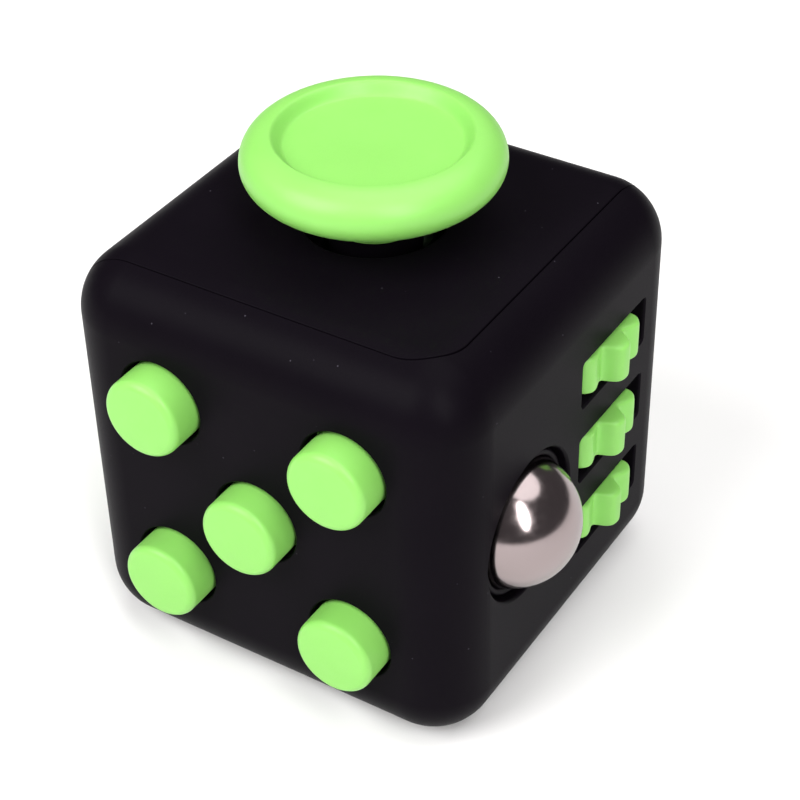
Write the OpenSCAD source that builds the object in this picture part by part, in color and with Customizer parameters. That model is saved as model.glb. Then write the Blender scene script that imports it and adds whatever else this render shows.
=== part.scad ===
// Six-sided desk fidget cube: two interlocking shells with a control on every face.
// Origin at the middle of the resting side, +Z up. Front (-Y) has the push buttons, right (+X) the ball
// and rollers, top the glide disc, left (-X) the dial, back (+Y) the rocker, base the thumb dish.

/* [Cube] */
// Distance between opposite faces
cube_size = 33; // [32:0.5:42]
// Rounding of every edge and corner
edge_radius = 4.8; // [4:0.1:5.6]
// Thickness of the shell walls
wall = 2; // [1.7:0.1:2.4]

/* [Seam] */
// Distance from the faces to the seam that runs round the cube
seam_inset = 3.2; // [2.8:0.1:4]
// Rounding of the seam where it turns a corner
seam_round = 3.6; // [2:0.1:4.2]
// Gap between the two shells
seam_gap = 0.1; // [0.05:0.05:0.2]

/* [Push buttons] */
// Sideways and upward distance from the middle button to the corner ones
button_pitch = 7.6; // [7:0.1:9]
// Radius of a button's cap
button_radius = 3.1; // [2.6:0.1:3.4]
// Height of a cap above the front face
button_proud = 2.5; // [2:0.1:3.2]
// Rounding of a cap's rim
button_fillet = 0.7; // [0.3:0.1:1]
// Gap between a cap and its hole
button_gap = 0.28; // [0.15:0.01:0.4]
// How far a button goes in
button_travel = 1; // [0.6:0.1:1.1]

/* [Ball] */
// Radius of the steel ball
ball_radius = 5; // [4.5:0.1:5.2]
// Height of the ball above the right face
ball_proud = 3.55; // [3:0.05:4]
// Distance of the ball in front of the cube's middle
ball_forward = 6.4; // [6:0.1:7]
// Distance of the ball below the cube's middle
ball_drop = 0.45; // [0:0.05:0.8]
// How far the ball clicks in
ball_travel = 1; // [0.6:0.1:1.1]
// Gap between the ball and the cradle's bore
ball_fit = 0.04; // [0.03:0.01:0.08]
// How far the cradle's lip reaches past the ball's middle
cradle_grip = 0.95; // [0.9:0.05:1.3]
// Wall of the cradle's rim round the ball
cradle_rim = 0.51; // [0.4:0.01:0.6]
// Gap between the cradle's rim and the hole in the face
cradle_gap = 0.23; // [0.15:0.01:0.4]

/* [Rollers] */
// Tip radius of a roller
roller_radius = 5; // [4.6:0.1:5.2]
// Depth of the hollows between a roller's lobes
roller_depth = 1.05; // [0.8:0.05:1.2]
// Thickness of a roller
roller_width = 3.2; // [2.8:0.1:3.4]
// Number of lobes on a roller
roller_lobes = 9; // [8:1:12]
// Angle of a roller's first lobe from straight out of the right face
roller_turn = -7; // [-20:1:20]
// Height of the roller tips above the right face
roller_proud = 1.4; // [1:0.1:1.6]
// Distance of the axle behind the cube's middle
roller_back = 5.75; // [5.5:0.05:6.2]
// Distance between roller middles
roller_pitch = 6.9; // [6.7:0.1:7.4]
// Height of a slot in the face
slot_height = 3.95; // [3.8:0.05:4.2]
// Radius of the axle pin
axle_radius = 0.75; // [0.6:0.05:0.9]

/* [Glide disc] */
// Outer radius of the disc
disc_radius = 9.4; // [8.8:0.1:10]
// Height of the middle of the rim above the top face
disc_height = 4.8; // [4.6:0.1:5.4]
// Half the height of the rim
rim_half_height = 2.05; // [1.8:0.05:2.2]
// Radius of the dished middle
dish_radius = 6.5; // [6:0.1:7]
// Depth of the dished middle
dish_depth = 0.9; // [0.5:0.05:1.2]
// Radius of the disc's neck
neck_radius = 3.4; // [3:0.1:3.6]
// How far the disc glides each way
glide_travel = 1.3; // [1:0.1:1.4]

/* [Rocker] */
// Width of the rocker, side to side
rocker_width = 7.6; // [6.5:0.1:8.4]
// Length of the rocker, bottom to top
rocker_length = 12; // [11:0.1:12.6]
// Height of the raised end above the back face
rocker_proud = 2.5; // [2.2:0.1:3]
// Tilt of the rocker each way
rocker_tilt = 10; // [8:0.5:11]
// Depth of the pivot pin below the back face
pivot_depth = 3.4; // [3.3:0.1:3.8]
// Radius of the pivot pin
pivot_radius = 0.6; // [0.5:0.05:0.7]

/* [Dial] */
// Radius of the dial
dial_radius = 7.5; // [6.5:0.1:9]
// Height of the dial above the left face
dial_proud = 3.55; // [3.2:0.05:4]
// Depth of the recess that the dial sits in
dial_recess = 0.6; // [0.4:0.1:0.8]
// Radius of the dial's hub
hub_radius = 2.6; // [2.2:0.1:3]
// Radius of the finger dimple
dimple_radius = 2.4; // [1.8:0.1:2.6]
// Depth of the finger dimple
dimple_depth = 0.9; // [0.5:0.1:1.2]

/* [Thumb dish] */
// Radius of the dish in the base
thumb_radius = 10.2; // [8:0.1:10.6]
// Depth of the dish in the base
thumb_depth = 1.4; // [0.8:0.1:1.6]

/* [Fits and fixings] */
// Radial clearance of a turning or sliding fit
running_fit = 0.05; // [0.02:0.01:0.1]
// Radial clearance of a pressed pin
press_fit = 0.01; // [0.01:0.01:0.02]
// Gap between moving faces that pass each other
face_gap = 0.1; // [0.05:0.05:0.15]
// Radius of a screw's shank
screw_radius = 0.7; // [0.6:0.05:0.8]
// Length of a screw under its head
screw_length = 3.6; // [3:0.1:4]
// Radius of a screw's head
head_radius = 1.35; // [1.2:0.05:1.5]
// Height of a screw's head
head_height = 0.9; // [0.7:0.05:1]
// Thickness of the boards and brackets
plate = 1; // [0.8:0.1:1.2]

/* [Hidden] */
$fn = 64;

half = cube_size / 2;
inner_half = half - wall;
seam_at = half - seam_inset;
far = cube_size;
cut = 0.01;
corner_sides = 32;

shell_black = [0.12, 0.115, 0.135];
control_green = [0.68, 0.97, 0.50];
inner_grey = [0.45, 0.46, 0.48];
steel = [0.75, 0.74, 0.73];
spring_steel = [0.62, 0.63, 0.62];
silicone = [0.85, 0.85, 0.82];
felt = [0.30, 0.30, 0.32];

// screw stack, as depths below the face that the screw points at
pilot_radius = screw_radius + running_fit;
boss_radius = 1.4;
pilot_spare = 0.2;

// push buttons
hole_radius = button_radius + button_gap;
flange_radius = 4.2;
flange_height = 0.9;
stem_radius = 1.5;
stem_height = 0.9;
dome_height = max(button_travel, ball_travel) + 0.2;
dome_radius = 2.8;
dome_skin = 0.2;
flange_depth = wall + face_gap + flange_height;
board_depth = flange_depth + stem_height + face_gap + dome_height;
corners = [[-1, 1], [1, 1], [-1, -1], [1, -1]];
board_bosses = [[0, -9.5], [0, 9.5], [-9.6, 0]];
board_left = 11.3;
board_right = 12;
board_half_height = 11.2;

// ball and cradle
ball_depth = ball_radius - ball_proud;
cradle_bore = ball_radius + ball_fit;
cradle_radius = cradle_bore + cradle_rim;
ball_hole_radius = cradle_radius + cradle_gap;
cradle_flange = ball_hole_radius + 0.8;
cradle_flat = half - edge_radius + 0.5 - ball_forward;
cradle_floor = 0.94;
cradle_foot = cradle_radius * 0.58;
cradle_taper = cradle_radius / 2;
cradle_end = ball_depth + cradle_bore + cradle_floor;
cradle_stem_radius = 1.8;
cradle_stem_end = cradle_end + 0.75;
bracket_depth = cradle_stem_end + face_gap + dome_height;
bracket_boss_offset = cradle_flange + boss_radius + 0.4;
bracket_half_width = 2.4;

// rollers
axle_depth = roller_radius - roller_proud;
slot_relief_wall = 1.5;
slot_half = sqrt(pow(roller_radius, 2) - pow(axle_depth - slot_relief_wall, 2)) + 0.26;
relief_half = sqrt(pow(roller_radius, 2) - pow(axle_depth - wall, 2)) + 0.4;
roller_gap = 0.3;
cage_web = roller_pitch - roller_width - 2 * roller_gap;
cage_end_web = 1.4;
cage_half_height = roller_pitch + roller_width / 2 + roller_gap + cage_end_web;
cage_web_half = 4.5;
cage_plate_depth = axle_depth + roller_radius + 0.5;
corner_clearance = 0.2122;
corner_reach = sqrt(pow(edge_radius - wall, 2) - pow(edge_radius - seam_inset + seam_gap / 2, 2));
cage_boss_out = half - edge_radius + corner_reach - corner_clearance - boss_radius - roller_back;
axle_overhang = 0.3;

// glide disc
opening_radius = neck_radius + sqrt(2) * glide_travel + face_gap;
carrier_top = wall + 2 * face_gap;
carrier_height = 0.9;
carrier_half_x = 9;
carrier_half_y = 8.8;
neck_end = carrier_top + carrier_height + 2 * face_gap;
post_depth = 0.3;
tenon_radius = neck_radius - 1.2;
tenon_end = 2.2;
retainer_height = 1.1;
retainer_radius = 6.2;
retainer_end = neck_end + retainer_height;
frame_window = retainer_radius + sqrt(2) * glide_travel + face_gap;
frame_wall = 1.2;
frame_ledge = 0.8;
frame_end = neck_end + frame_ledge;
frame_half_x = carrier_half_x + glide_travel + face_gap + frame_wall;
frame_half_y = carrier_half_y + face_gap + frame_wall;
stake_radius = 0.7;
stake_head_radius = 1.15;
stake_head_height = 0.5;
stake_x = 5;
stake_y = frame_half_y + 0.2;
lug_radius = 1.3;
rim_half_width = disc_radius - dish_radius;
under_height = disc_height - rim_half_height;

// rocker
end_out = rocker_length / 2;
end_high = (rocker_proud + pivot_depth - end_out * sin(rocker_tilt)) / cos(rocker_tilt);
saddle_drop = 1.2;
saddle_radius = (pow(end_out, 2) + pow(saddle_drop, 2)) / (2 * saddle_drop);
rocker_skirt = 1.2;
nose_radius = 0.6;
nose_length = 2.6;
window_half_width = rocker_width / 2 + 0.25;
window_half_length = end_out * cos(rocker_tilt) + pivot_depth * sin(rocker_tilt) + 0.35;
housing_cheek = 1.2;
housing_half_x = window_half_width + housing_cheek;
housing_half_y = window_half_length + housing_cheek + 0.3;
housing_floor = 8;
housing_lug_out = housing_half_y + boss_radius;
leaf_skin = 0.2;
leaf_half_width = 1.5;
leaf_low = housing_floor - leaf_skin;
leaf_high = 6.8;
leaf_bump = 6.5;

// dial
dial_underside = dial_recess - 0.15;
dial_fillet = 0.8;
washer_height = 0.3;
hub_end = wall + washer_height + face_gap;
dial_retainer_radius = 4.6;
washer_radius = 4.4;
dimple_out = dial_radius - dimple_radius - dial_fillet - 0.4;

// guide posts between the shells
post_radius = 1.2;
post_top = 10;
post_bottom = 0.5;
socket_wall = 0.85;
socket_height = 4;
rib = 1.2;
posts = [[-(inner_half - 2.9), inner_half - 2.9], [-(inner_half - 2.9), -7.6]];

// ---- places on the faces: local +Z points out of the face, local +Y points up ----
module on_front() { translate([0, -half, half]) rotate([90, 0, 0]) children(); }
module on_right() { translate([half, 0, half]) rotate([90, 0, 90]) children(); }
module on_left() { translate([-half, 0, half]) rotate([90, 0, -90]) children(); }
module on_back() { translate([0, half, half]) rotate([90, 0, 180]) children(); }
module on_top() { translate([0, 0, cube_size]) children(); }
module at_button(i) { translate([corners[i].x * button_pitch, corners[i].y * button_pitch, 0]) children(); }
module at_ball() { translate([-ball_forward, -ball_drop, 0]) children(); }
module at_axle() { translate([roller_back, 0, -axle_depth]) rotate([-90, 0, 0]) children(); }

// ---- repeated shapes ----
// A block with every edge and corner rounded, centred on the cube's middle
module rounded_block(size, radius) {
    reach = size / 2 - radius;
    translate([0, 0, half])
        hull()
            for (x = [-1, 1], y = [-1, 1], z = [-1, 1])
                translate([x, y, z] * reach) round_corner(radius);
}

// A corner whose facets reach the full radius along each axis
module round_corner(radius) { sphere(radius / cos(180 / corner_sides), $fn = corner_sides); }

// Everything on the upper shell's side of the seam, set back by a clearance
module seam_zone(setback) {
    at = seam_at - setback;
    r = seam_round;
    low = half - at;
    turn = [at - r, r - at, low + r];
    translate([-far, turn.y, turn.z]) cube([far + at, 2 * far, 2 * far]);
    translate([-far, -at, turn.z]) cube([far + turn.x, 2 * far, 2 * far]);
    translate([-far, turn.y, low]) cube([far + turn.x, 2 * far, 2 * far]);
    translate(turn) {
        sphere(r);
        cylinder(r = r, h = 2 * far);
        rotate([-90, 0, 0]) cylinder(r = r, h = 2 * far);
        rotate([0, -90, 0]) cylinder(r = r, h = 2 * far);
    }
}

// A disc with a rounded upper rim, standing on z = 0
module filleted_disc(radius, height, fillet) {
    rotate_extrude($fn = 96) {
        square([radius - fillet, height]);
        square([radius, height - fillet]);
        translate([radius - fillet, height - fillet]) circle(fillet, $fn = 48);
    }
}

// A tube standing on z = 0
module ring(outer, inner, height) {
    difference() {
        cylinder(r = outer, h = height);
        translate([0, 0, -cut]) cylinder(r = inner, h = height + 2 * cut);
    }
}

// A post from a wall's inner face down to a depth
module boss(depth) {
    translate([0, 0, -depth]) cylinder(r = boss_radius, h = depth - wall / 2);
}

// The hole for a screw whose head seats one plate below a boss's end
module boss_pilot(depth) {
    drilled = screw_length - plate + pilot_spare;
    translate([0, 0, -depth - cut]) cylinder(r = pilot_radius, h = drilled + cut);
}

// A pan-head screw that points along +Z, with its head seated at a depth
module screw(depth) {
    translate([0, 0, -depth]) {
        cylinder(r = screw_radius, h = screw_length);
        translate([0, 0, -head_height])
            difference() {
                cylinder(r = head_radius, h = head_height);
                for (a = [0, 90])
                    rotate(a) translate([-head_radius * 0.6, -0.17, -cut])
                        cube([head_radius * 1.2, 0.34, head_height / 2]);
            }
    }
}

// A sprung metal dome standing on a board at a depth
module snap_dome(depth) {
    curve = (pow(dome_radius, 2) + pow(dome_height, 2)) / (2 * dome_height);
    translate([0, 0, -depth])
        rotate_extrude()
            intersection() {
                translate([0, dome_height - curve])
                    difference() {
                        circle(curve, $fn = 96);
                        circle(curve - dome_skin, $fn = 96);
                    }
                square([dome_radius, dome_height]);
            }
}

// ---- shells ----
module shell_wall() {
    difference() {
        rounded_block(cube_size, edge_radius);
        rounded_block(cube_size - 2 * wall, edge_radius - wall);
    }
}

module lower_shell() {
    color(shell_black)
        difference() {
            union() {
                difference() {
                    shell_wall();
                    seam_zone(-seam_gap / 2);
                }
                translate([0, 0, wall / 2])
                    cylinder(r = thumb_radius + 1, h = wall / 2 + thumb_depth);
                for (p = board_bosses)
                    on_front() translate(p) boss(board_depth);
                for (s = [-1, 1]) {
                    on_right() at_ball() translate([0, s * bracket_boss_offset, 0]) boss(bracket_depth);
                    on_right() translate([roller_back + cage_boss_out, s * roller_pitch / 2, 0])
                        boss(cage_plate_depth);
                }
                for (p = posts)
                    translate([p.x, p.y, wall / 2])
                        cylinder(r = post_radius + running_fit + socket_wall, h = socket_height + wall / 2);
            }
            lower_shell_cuts();
        }
}

module lower_shell_cuts() {
    thumb_curve = (pow(thumb_radius, 2) + pow(thumb_depth, 2)) / (2 * thumb_depth);
    translate([0, 0, thumb_depth - thumb_curve]) sphere(thumb_curve, $fn = 200);
    on_front() {
        for (i = [0:3])
            at_button(i) button_hole();
        button_hole();
        for (p = board_bosses)
            translate(p) boss_pilot(board_depth);
    }
    on_right() {
        at_ball() {
            translate([0, 0, -wall - 1]) cylinder(r = ball_hole_radius, h = wall + 2);
            for (s = [-1, 1])
                translate([0, s * bracket_boss_offset, 0]) boss_pilot(bracket_depth);
        }
        for (k = [-1:1])
            translate([roller_back - slot_half, k * roller_pitch - slot_height / 2, -wall - 1])
                cube([2 * slot_half, slot_height, wall + 2]);
        translate([roller_back - relief_half, -roller_pitch - slot_height / 2, -wall - cut])
            cube([2 * relief_half, 2 * roller_pitch + slot_height, wall - slot_relief_wall + cut]);
        for (s = [-1, 1])
            translate([roller_back + cage_boss_out, s * roller_pitch / 2, 0]) boss_pilot(cage_plate_depth);
    }
    for (p = posts)
        translate([p.x, p.y, wall + post_bottom - running_fit])
            cylinder(r = post_radius + running_fit, h = socket_height);
}

module button_hole() {
    translate([0, 0, -wall - 1]) cylinder(r = hole_radius, h = wall + 2);
}

module upper_shell() {
    color(shell_black)
        difference() {
            union() {
                intersection() {
                    shell_wall();
                    seam_zone(seam_gap / 2);
                }
                on_top()
                    for (x = [-1, 1], y = [-1, 1])
                        translate([x * stake_x, y * stake_y, 0]) stake();
                on_back()
                    for (s = [-1, 1])
                        translate([0, s * housing_lug_out, 0]) boss(board_depth);
                for (p = posts) {
                    translate([p.x, p.y, wall + post_bottom]) cylinder(r = post_radius, h = post_top - wall);
                    translate([-inner_half - wall / 2, p.y - rib / 2, wall + socket_height + 0.4])
                        cube([inner_half + wall / 2 + p.x, rib, post_top - socket_height - wall]);
                }
            }
            on_top() translate([0, 0, -wall - 1]) cylinder(r = opening_radius, h = wall + 2);
            on_back() {
                translate([-window_half_width, -window_half_length, -wall - 1])
                    cube([2 * window_half_width, 2 * window_half_length, wall + 2]);
                for (s = [-1, 1])
                    translate([0, s * housing_lug_out, 0]) boss_pilot(board_depth);
            }
            on_left() {
                translate([0, 0, -dial_recess]) cylinder(r = dial_radius + 0.3, h = 1 + dial_recess, $fn = 96);
                translate([0, 0, -wall - 1]) cylinder(r = hub_radius + running_fit, h = wall + 2);
            }
        }
}

// A moulded stake through the glide frame, with its head closed over
module stake() {
    translate([0, 0, -frame_end]) cylinder(r = stake_radius, h = frame_end - wall / 2);
    translate([0, 0, -frame_end - stake_head_height]) cylinder(r = stake_head_radius, h = stake_head_height);
}

// ---- click side ----
module button() {
    color(control_green)
        on_front() {
            translate([0, 0, -flange_depth])
                filleted_disc(button_radius, flange_depth + button_proud, button_fillet);
            translate([0, 0, -flange_depth]) cylinder(r = flange_radius, h = flange_height);
            translate([0, 0, -flange_depth - stem_height]) cylinder(r = stem_radius, h = stem_height + cut);
        }
}

module button_at(i) { translate([corners[i].x, 0, corners[i].y] * button_pitch) button(); }
module button_top_left() { button_at(0); }
module button_top_right() { button_at(1); }
module button_centre() { button(); }
module button_bottom_left() { button_at(2); }
module button_bottom_right() { button_at(3); }

module dome_top_left() { color(spring_steel) on_front() at_button(0) snap_dome(board_depth); }
module dome_centre() { color(spring_steel) on_front() snap_dome(board_depth); }
module dome_bottom_right() { color(spring_steel) on_front() at_button(3) snap_dome(board_depth); }

// A soft silicone pad that makes a button silent
module silent_pad() {
    translate([0, 0, -board_depth])
        rotate_extrude()
            polygon([
                [0, 0], [dome_radius, 0], [dome_radius, 0.35], [2.1, 0.45],
                [stem_radius + 0.1, dome_height], [0, dome_height]
            ]);
}

module silent_pad_top_right() { color(silicone) on_front() at_button(1) silent_pad(); }
module silent_pad_bottom_left() { color(silicone) on_front() at_button(2) silent_pad(); }

module click_board() {
    board_back = half - board_depth - plate;
    notch_left = half - cradle_end - ball_travel + 0.4;
    notch_half = sqrt(max(0, pow(cradle_radius, 2) - pow(board_back - ball_forward, 2))) + 0.4;
    color(inner_grey)
        on_front() translate([0, 0, -board_depth - plate])
            linear_extrude(plate)
                difference() {
                    translate([-board_left, -board_half_height])
                        square([board_left + board_right, 2 * board_half_height]);
                    translate([notch_left, -ball_drop - notch_half]) square([far, 2 * notch_half]);
                    for (p = board_bosses)
                        translate(p) circle(screw_radius + face_gap);
                }
}

// ---- roll side ----
module steel_ball() {
    color(steel) on_right() at_ball() translate([0, 0, -ball_depth]) sphere(ball_radius, $fn = 128);
}

module ball_cradle() {
    lip = ball_depth - cradle_grip;
    color(shell_black)
        on_right() at_ball()
            difference() {
                rotate_extrude($fn = 96)
                    polygon([
                        [0, -cradle_stem_end], [cradle_stem_radius, -cradle_stem_end],
                        [cradle_stem_radius, -cradle_end], [cradle_foot, -cradle_end],
                        [cradle_radius, cradle_taper - cradle_end], [cradle_radius, -wall - face_gap - 0.8],
                        [cradle_flange, -wall - face_gap - 0.8], [cradle_flange, -wall - face_gap],
                        [cradle_radius, -wall - face_gap], [cradle_radius, -lip], [0, -lip]
                    ]);
                translate([0, 0, -ball_depth]) sphere(cradle_bore, $fn = 128);
                translate([-cradle_flat - cradle_flange, -cradle_flange, -cradle_end])
                    cube([cradle_flange, 2 * cradle_flange, cradle_end]);
            }
}

module ball_dome() { color(spring_steel) on_right() at_ball() snap_dome(bracket_depth); }

module ball_bracket() {
    reach = bracket_boss_offset + boss_radius;
    color(inner_grey)
        on_right() at_ball() translate([0, 0, -bracket_depth - plate])
            linear_extrude(plate)
                difference() {
                    union() {
                        translate([-bracket_half_width, -reach]) square([2 * bracket_half_width, 2 * reach]);
                        circle(dome_radius + 0.5);
                    }
                    for (s = [-1, 1])
                        translate([0, s * bracket_boss_offset]) circle(screw_radius + face_gap);
                }
}

// Outline of a roller: a round lobe every step, standing on a smaller disc
module roller_outline() {
    lobe = 0.95;
    step = 360 / roller_lobes;
    difference() {
        union() {
            circle(roller_radius - roller_depth, $fn = 96);
            for (i = [0:roller_lobes - 1])
                rotate(i * step) {
                    translate([roller_radius - lobe, 0]) circle(lobe, $fn = 32);
                    translate([0, -lobe]) square([roller_radius - lobe, 2 * lobe]);
                }
        }
        circle(axle_radius + running_fit);
    }
}

module roller(k) {
    color(control_green)
        on_right() at_axle() translate([0, 0, k * roller_pitch - roller_width / 2])
            rotate(roller_turn - 90) linear_extrude(roller_width) roller_outline();
}

module roller_top() { roller(1); }
module roller_middle() { roller(0); }
module roller_bottom() { roller(-1); }

module roller_axle() {
    reach = cage_half_height + axle_overhang;
    color(steel)
        on_right() at_axle() translate([0, 0, -reach]) cylinder(r = axle_radius, h = 2 * reach);
}

module roller_cage() {
    plate_top = axle_depth - cage_plate_depth;
    webs = [
        [-cage_half_height, cage_end_web], [-roller_pitch / 2 - cage_web / 2, cage_web],
        [roller_pitch / 2 - cage_web / 2, cage_web], [cage_half_height - cage_end_web, cage_end_web]
    ];
    color(inner_grey)
        on_right() translate([roller_back, 0, -axle_depth])
            difference() {
                union() {
                    translate([-cage_web_half, -cage_half_height, plate_top - plate])
                        cube([cage_web_half + cage_boss_out + boss_radius, 2 * cage_half_height, plate]);
                    for (w = webs)
                        translate([-cage_web_half, w[0], plate_top - cut])
                            cube([2 * cage_web_half, w[1], cage_plate_depth - wall - face_gap + cut]);
                }
                rotate([-90, 0, 0]) translate([0, 0, -cage_half_height - 1])
                    cylinder(r = axle_radius + press_fit, h = 2 * cage_half_height + 2);
                for (s = [-1, 1])
                    translate([cage_boss_out, s * roller_pitch / 2, plate_top - plate - 1])
                        cylinder(r = screw_radius + face_gap, h = plate + 2);
            }
}

// ---- glide side ----
module glide_disc() {
    floor_height = disc_height + rim_half_height - dish_depth;
    steps = 20;
    rim = [
        for (i = [0:steps])
            let (a = -90 + 180 * i / steps)
                [dish_radius + rim_half_width * cos(a), disc_height + rim_half_height * sin(a)]
    ];
    color(control_green)
        on_top()
            rotate_extrude($fn = 128)
                polygon(concat(
                    [[0, tenon_end], [tenon_radius + press_fit, tenon_end]],
                    [[tenon_radius + press_fit, -post_depth], [neck_radius, -post_depth]],
                    [[neck_radius, under_height - 1], [neck_radius + 1, under_height]],
                    rim,
                    [[dish_radius - 0.7, floor_height], [0, floor_height]]
                ));
}

// The post that the disc is pressed on
module glide_post() {
    color(shell_black)
        on_top()
            difference() {
                union() {
                    translate([0, 0, -neck_end]) cylinder(r = neck_radius, h = neck_end - post_depth);
                    translate([0, 0, -neck_end]) cylinder(r = tenon_radius, h = neck_end + tenon_end - face_gap);
                }
                translate([0, 0, -neck_end - cut])
                    cylinder(r = pilot_radius, h = screw_length - retainer_height + pilot_spare + cut);
            }
}

module glide_carrier() {
    slot_reach = glide_travel + face_gap;
    neck_slot = neck_radius + running_fit;
    color(shell_black)
        on_top() translate([0, 0, -carrier_top - carrier_height])
            linear_extrude(carrier_height)
                difference() {
                    square([2 * carrier_half_x, 2 * carrier_half_y], center = true);
                    for (s = [-1, 1])
                        translate([0, s * slot_reach]) circle(neck_slot);
                    square([2 * neck_slot, 2 * slot_reach], center = true);
                }
}

module glide_retainer() {
    color(inner_grey)
        on_top() translate([0, 0, -retainer_end])
            ring(retainer_radius, screw_radius + face_gap, retainer_height);
}

module glide_screw() { color(steel) on_top() screw(retainer_end); }

module glide_frame() {
    pocket_x = carrier_half_x + glide_travel + face_gap;
    pocket_y = carrier_half_y + face_gap;
    lugs = [for (x = [-1, 1], y = [-1, 1]) [x * stake_x, y * stake_y]];
    color(inner_grey)
        on_top() translate([0, 0, -frame_end])
            difference() {
                linear_extrude(frame_end - wall)
                    difference() {
                        union() {
                            square([2 * frame_half_x, 2 * frame_half_y], center = true);
                            for (p = lugs)
                                translate(p) circle(lug_radius);
                        }
                        circle(frame_window, $fn = 96);
                        for (p = lugs)
                            translate(p) circle(stake_radius + press_fit);
                    }
                translate([-pocket_x, -pocket_y, frame_ledge])
                    cube([2 * pocket_x, 2 * pocket_y, frame_end]);
            }
}

module centring_ring() {
    squeeze = face_gap;
    color(silicone)
        on_top() translate([0, 0, -frame_end + squeeze])
            ring(frame_window - squeeze, retainer_radius + squeeze, frame_ledge - 2 * squeeze);
}

// ---- flip side ----
module rocker() {
    color(control_green)
        on_back() translate([0, 0, -pivot_depth]) rotate([rocker_tilt, 0, 0])
            rotate([90, 0, 90]) translate([0, 0, -rocker_width / 2])
                linear_extrude(rocker_width)
                    difference() {
                        union() {
                            translate([-end_out, -rocker_skirt])
                                square([rocker_length, rocker_skirt + end_high]);
                            translate([0, -nose_length]) circle(nose_radius, $fn = 32);
                            translate([-nose_radius, -nose_length])
                                square([2 * nose_radius, nose_length]);
                        }
                        translate([0, end_high - saddle_drop + saddle_radius]) circle(saddle_radius, $fn = 200);
                        circle(pivot_radius + running_fit, $fn = 48);
                    }
}

module rocker_pin() {
    color(steel)
        on_back() translate([-housing_half_x, 0, -pivot_depth]) rotate([0, 90, 0])
            cylinder(r = pivot_radius, h = 2 * housing_half_x);
}

module rocker_housing() {
    depth = housing_floor - wall;
    lug_end = housing_lug_out + boss_radius;
    color(inner_grey)
        on_back()
            difference() {
                union() {
                    translate([-housing_half_x, -housing_half_y, -housing_floor - plate])
                        cube([2 * housing_half_x, 2 * housing_half_y, depth + plate]);
                    translate([-boss_radius, -lug_end, -board_depth - plate])
                        cube([2 * boss_radius, 2 * lug_end, plate]);
                }
                translate([
                    -housing_half_x + housing_cheek, -housing_half_y + housing_cheek, -housing_floor
                ])
                    cube([
                        2 * (housing_half_x - housing_cheek), 2 * (housing_half_y - housing_cheek), depth + 1
                    ]);
                translate([-housing_half_x - 1, 0, -pivot_depth]) rotate([0, 90, 0])
                    cylinder(r = pivot_radius + press_fit, h = 2 * housing_half_x + 2);
                for (s = [-1, 1])
                    translate([0, s * housing_lug_out, -board_depth - plate - 1])
                        cylinder(r = screw_radius + face_gap, h = plate + 2);
            }
}

module rocker_leaf_spring() {
    side = [[5, leaf_low], [4, leaf_low], [2.8, leaf_high], [0.9, leaf_high]];
    upper = concat(
        [for (p = side) [-p[0], -p[1]]],
        [[0, -leaf_bump]],
        [for (i = [3:-1:0]) [side[i][0], -side[i][1]]]
    );
    lower = [for (i = [len(upper) - 1:-1:0]) upper[i] - [0, leaf_skin]];
    color(spring_steel)
        on_back() rotate([90, 0, 90]) translate([0, 0, -leaf_half_width])
            linear_extrude(2 * leaf_half_width) polygon(concat(upper, lower));
}

// ---- spin side ----
module dial() {
    dimple_curve = (pow(dimple_radius, 2) + pow(dimple_depth, 2)) / (2 * dimple_depth);
    color(control_green)
        on_left()
            difference() {
                union() {
                    translate([0, 0, -dial_underside])
                        filleted_disc(dial_radius, dial_underside + dial_proud, dial_fillet);
                    translate([0, 0, -hub_end]) cylinder(r = hub_radius, h = hub_end);
                }
                translate([0, dimple_out, dial_proud - dimple_depth + dimple_curve])
                    sphere(dimple_curve, $fn = 96);
                translate([0, 0, -hub_end - cut])
                    cylinder(r = pilot_radius, h = screw_length - plate + pilot_spare + cut);
            }
}

module dial_washer() {
    color(felt)
        on_left() translate([0, 0, -wall - face_gap / 2 - washer_height])
            ring(washer_radius, hub_radius + 2 * running_fit, washer_height);
}

module dial_retainer() {
    color(inner_grey)
        on_left() translate([0, 0, -hub_end - plate])
            ring(dial_retainer_radius, screw_radius + face_gap, plate);
}

module dial_screw() { color(steel) on_left() screw(hub_end + plate); }

// ---- fixings ----
module housing_screws() {
    color(steel) {
        for (p = board_bosses)
            on_front() translate(p) screw(board_depth + plate);
        for (s = [-1, 1]) {
            on_right() at_ball() translate([0, s * bracket_boss_offset, 0]) screw(bracket_depth + plate);
            on_right() translate([roller_back + cage_boss_out, s * roller_pitch / 2, 0])
                screw(cage_plate_depth + plate);
            on_back() translate([0, s * housing_lug_out, 0]) screw(board_depth + plate);
        }
    }
}

lower_shell();
upper_shell();
button_top_left();
button_top_right();
button_centre();
button_bottom_left();
button_bottom_right();
dome_top_left();
dome_centre();
dome_bottom_right();
silent_pad_top_right();
silent_pad_bottom_left();
click_board();
steel_ball();
ball_cradle();
ball_dome();
ball_bracket();
roller_top();
roller_middle();
roller_bottom();
roller_axle();
roller_cage();
glide_disc();
glide_post();
glide_carrier();
glide_retainer();
glide_frame();
centring_ring();
glide_screw();
rocker();
rocker_pin();
rocker_housing();
rocker_leaf_spring();
dial();
dial_washer();
dial_retainer();
dial_screw();
housing_screws();
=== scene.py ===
"""Looks for a six-sided desk fidget cube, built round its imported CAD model.

Every visible piece is modelled in millimetres on the cube's own faces, turned into metres, and rides on the
body that its CAD node belongs to. The pieces inside keep their CAD shape and get a finish.
"""

from __future__ import annotations

import logging
import math
from collections.abc import Callable, Iterable, Sequence
from dataclasses import dataclass, field
from enum import Enum

import bmesh
import bpy
import numpy as np
from mathutils import Matrix, Vector


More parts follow.
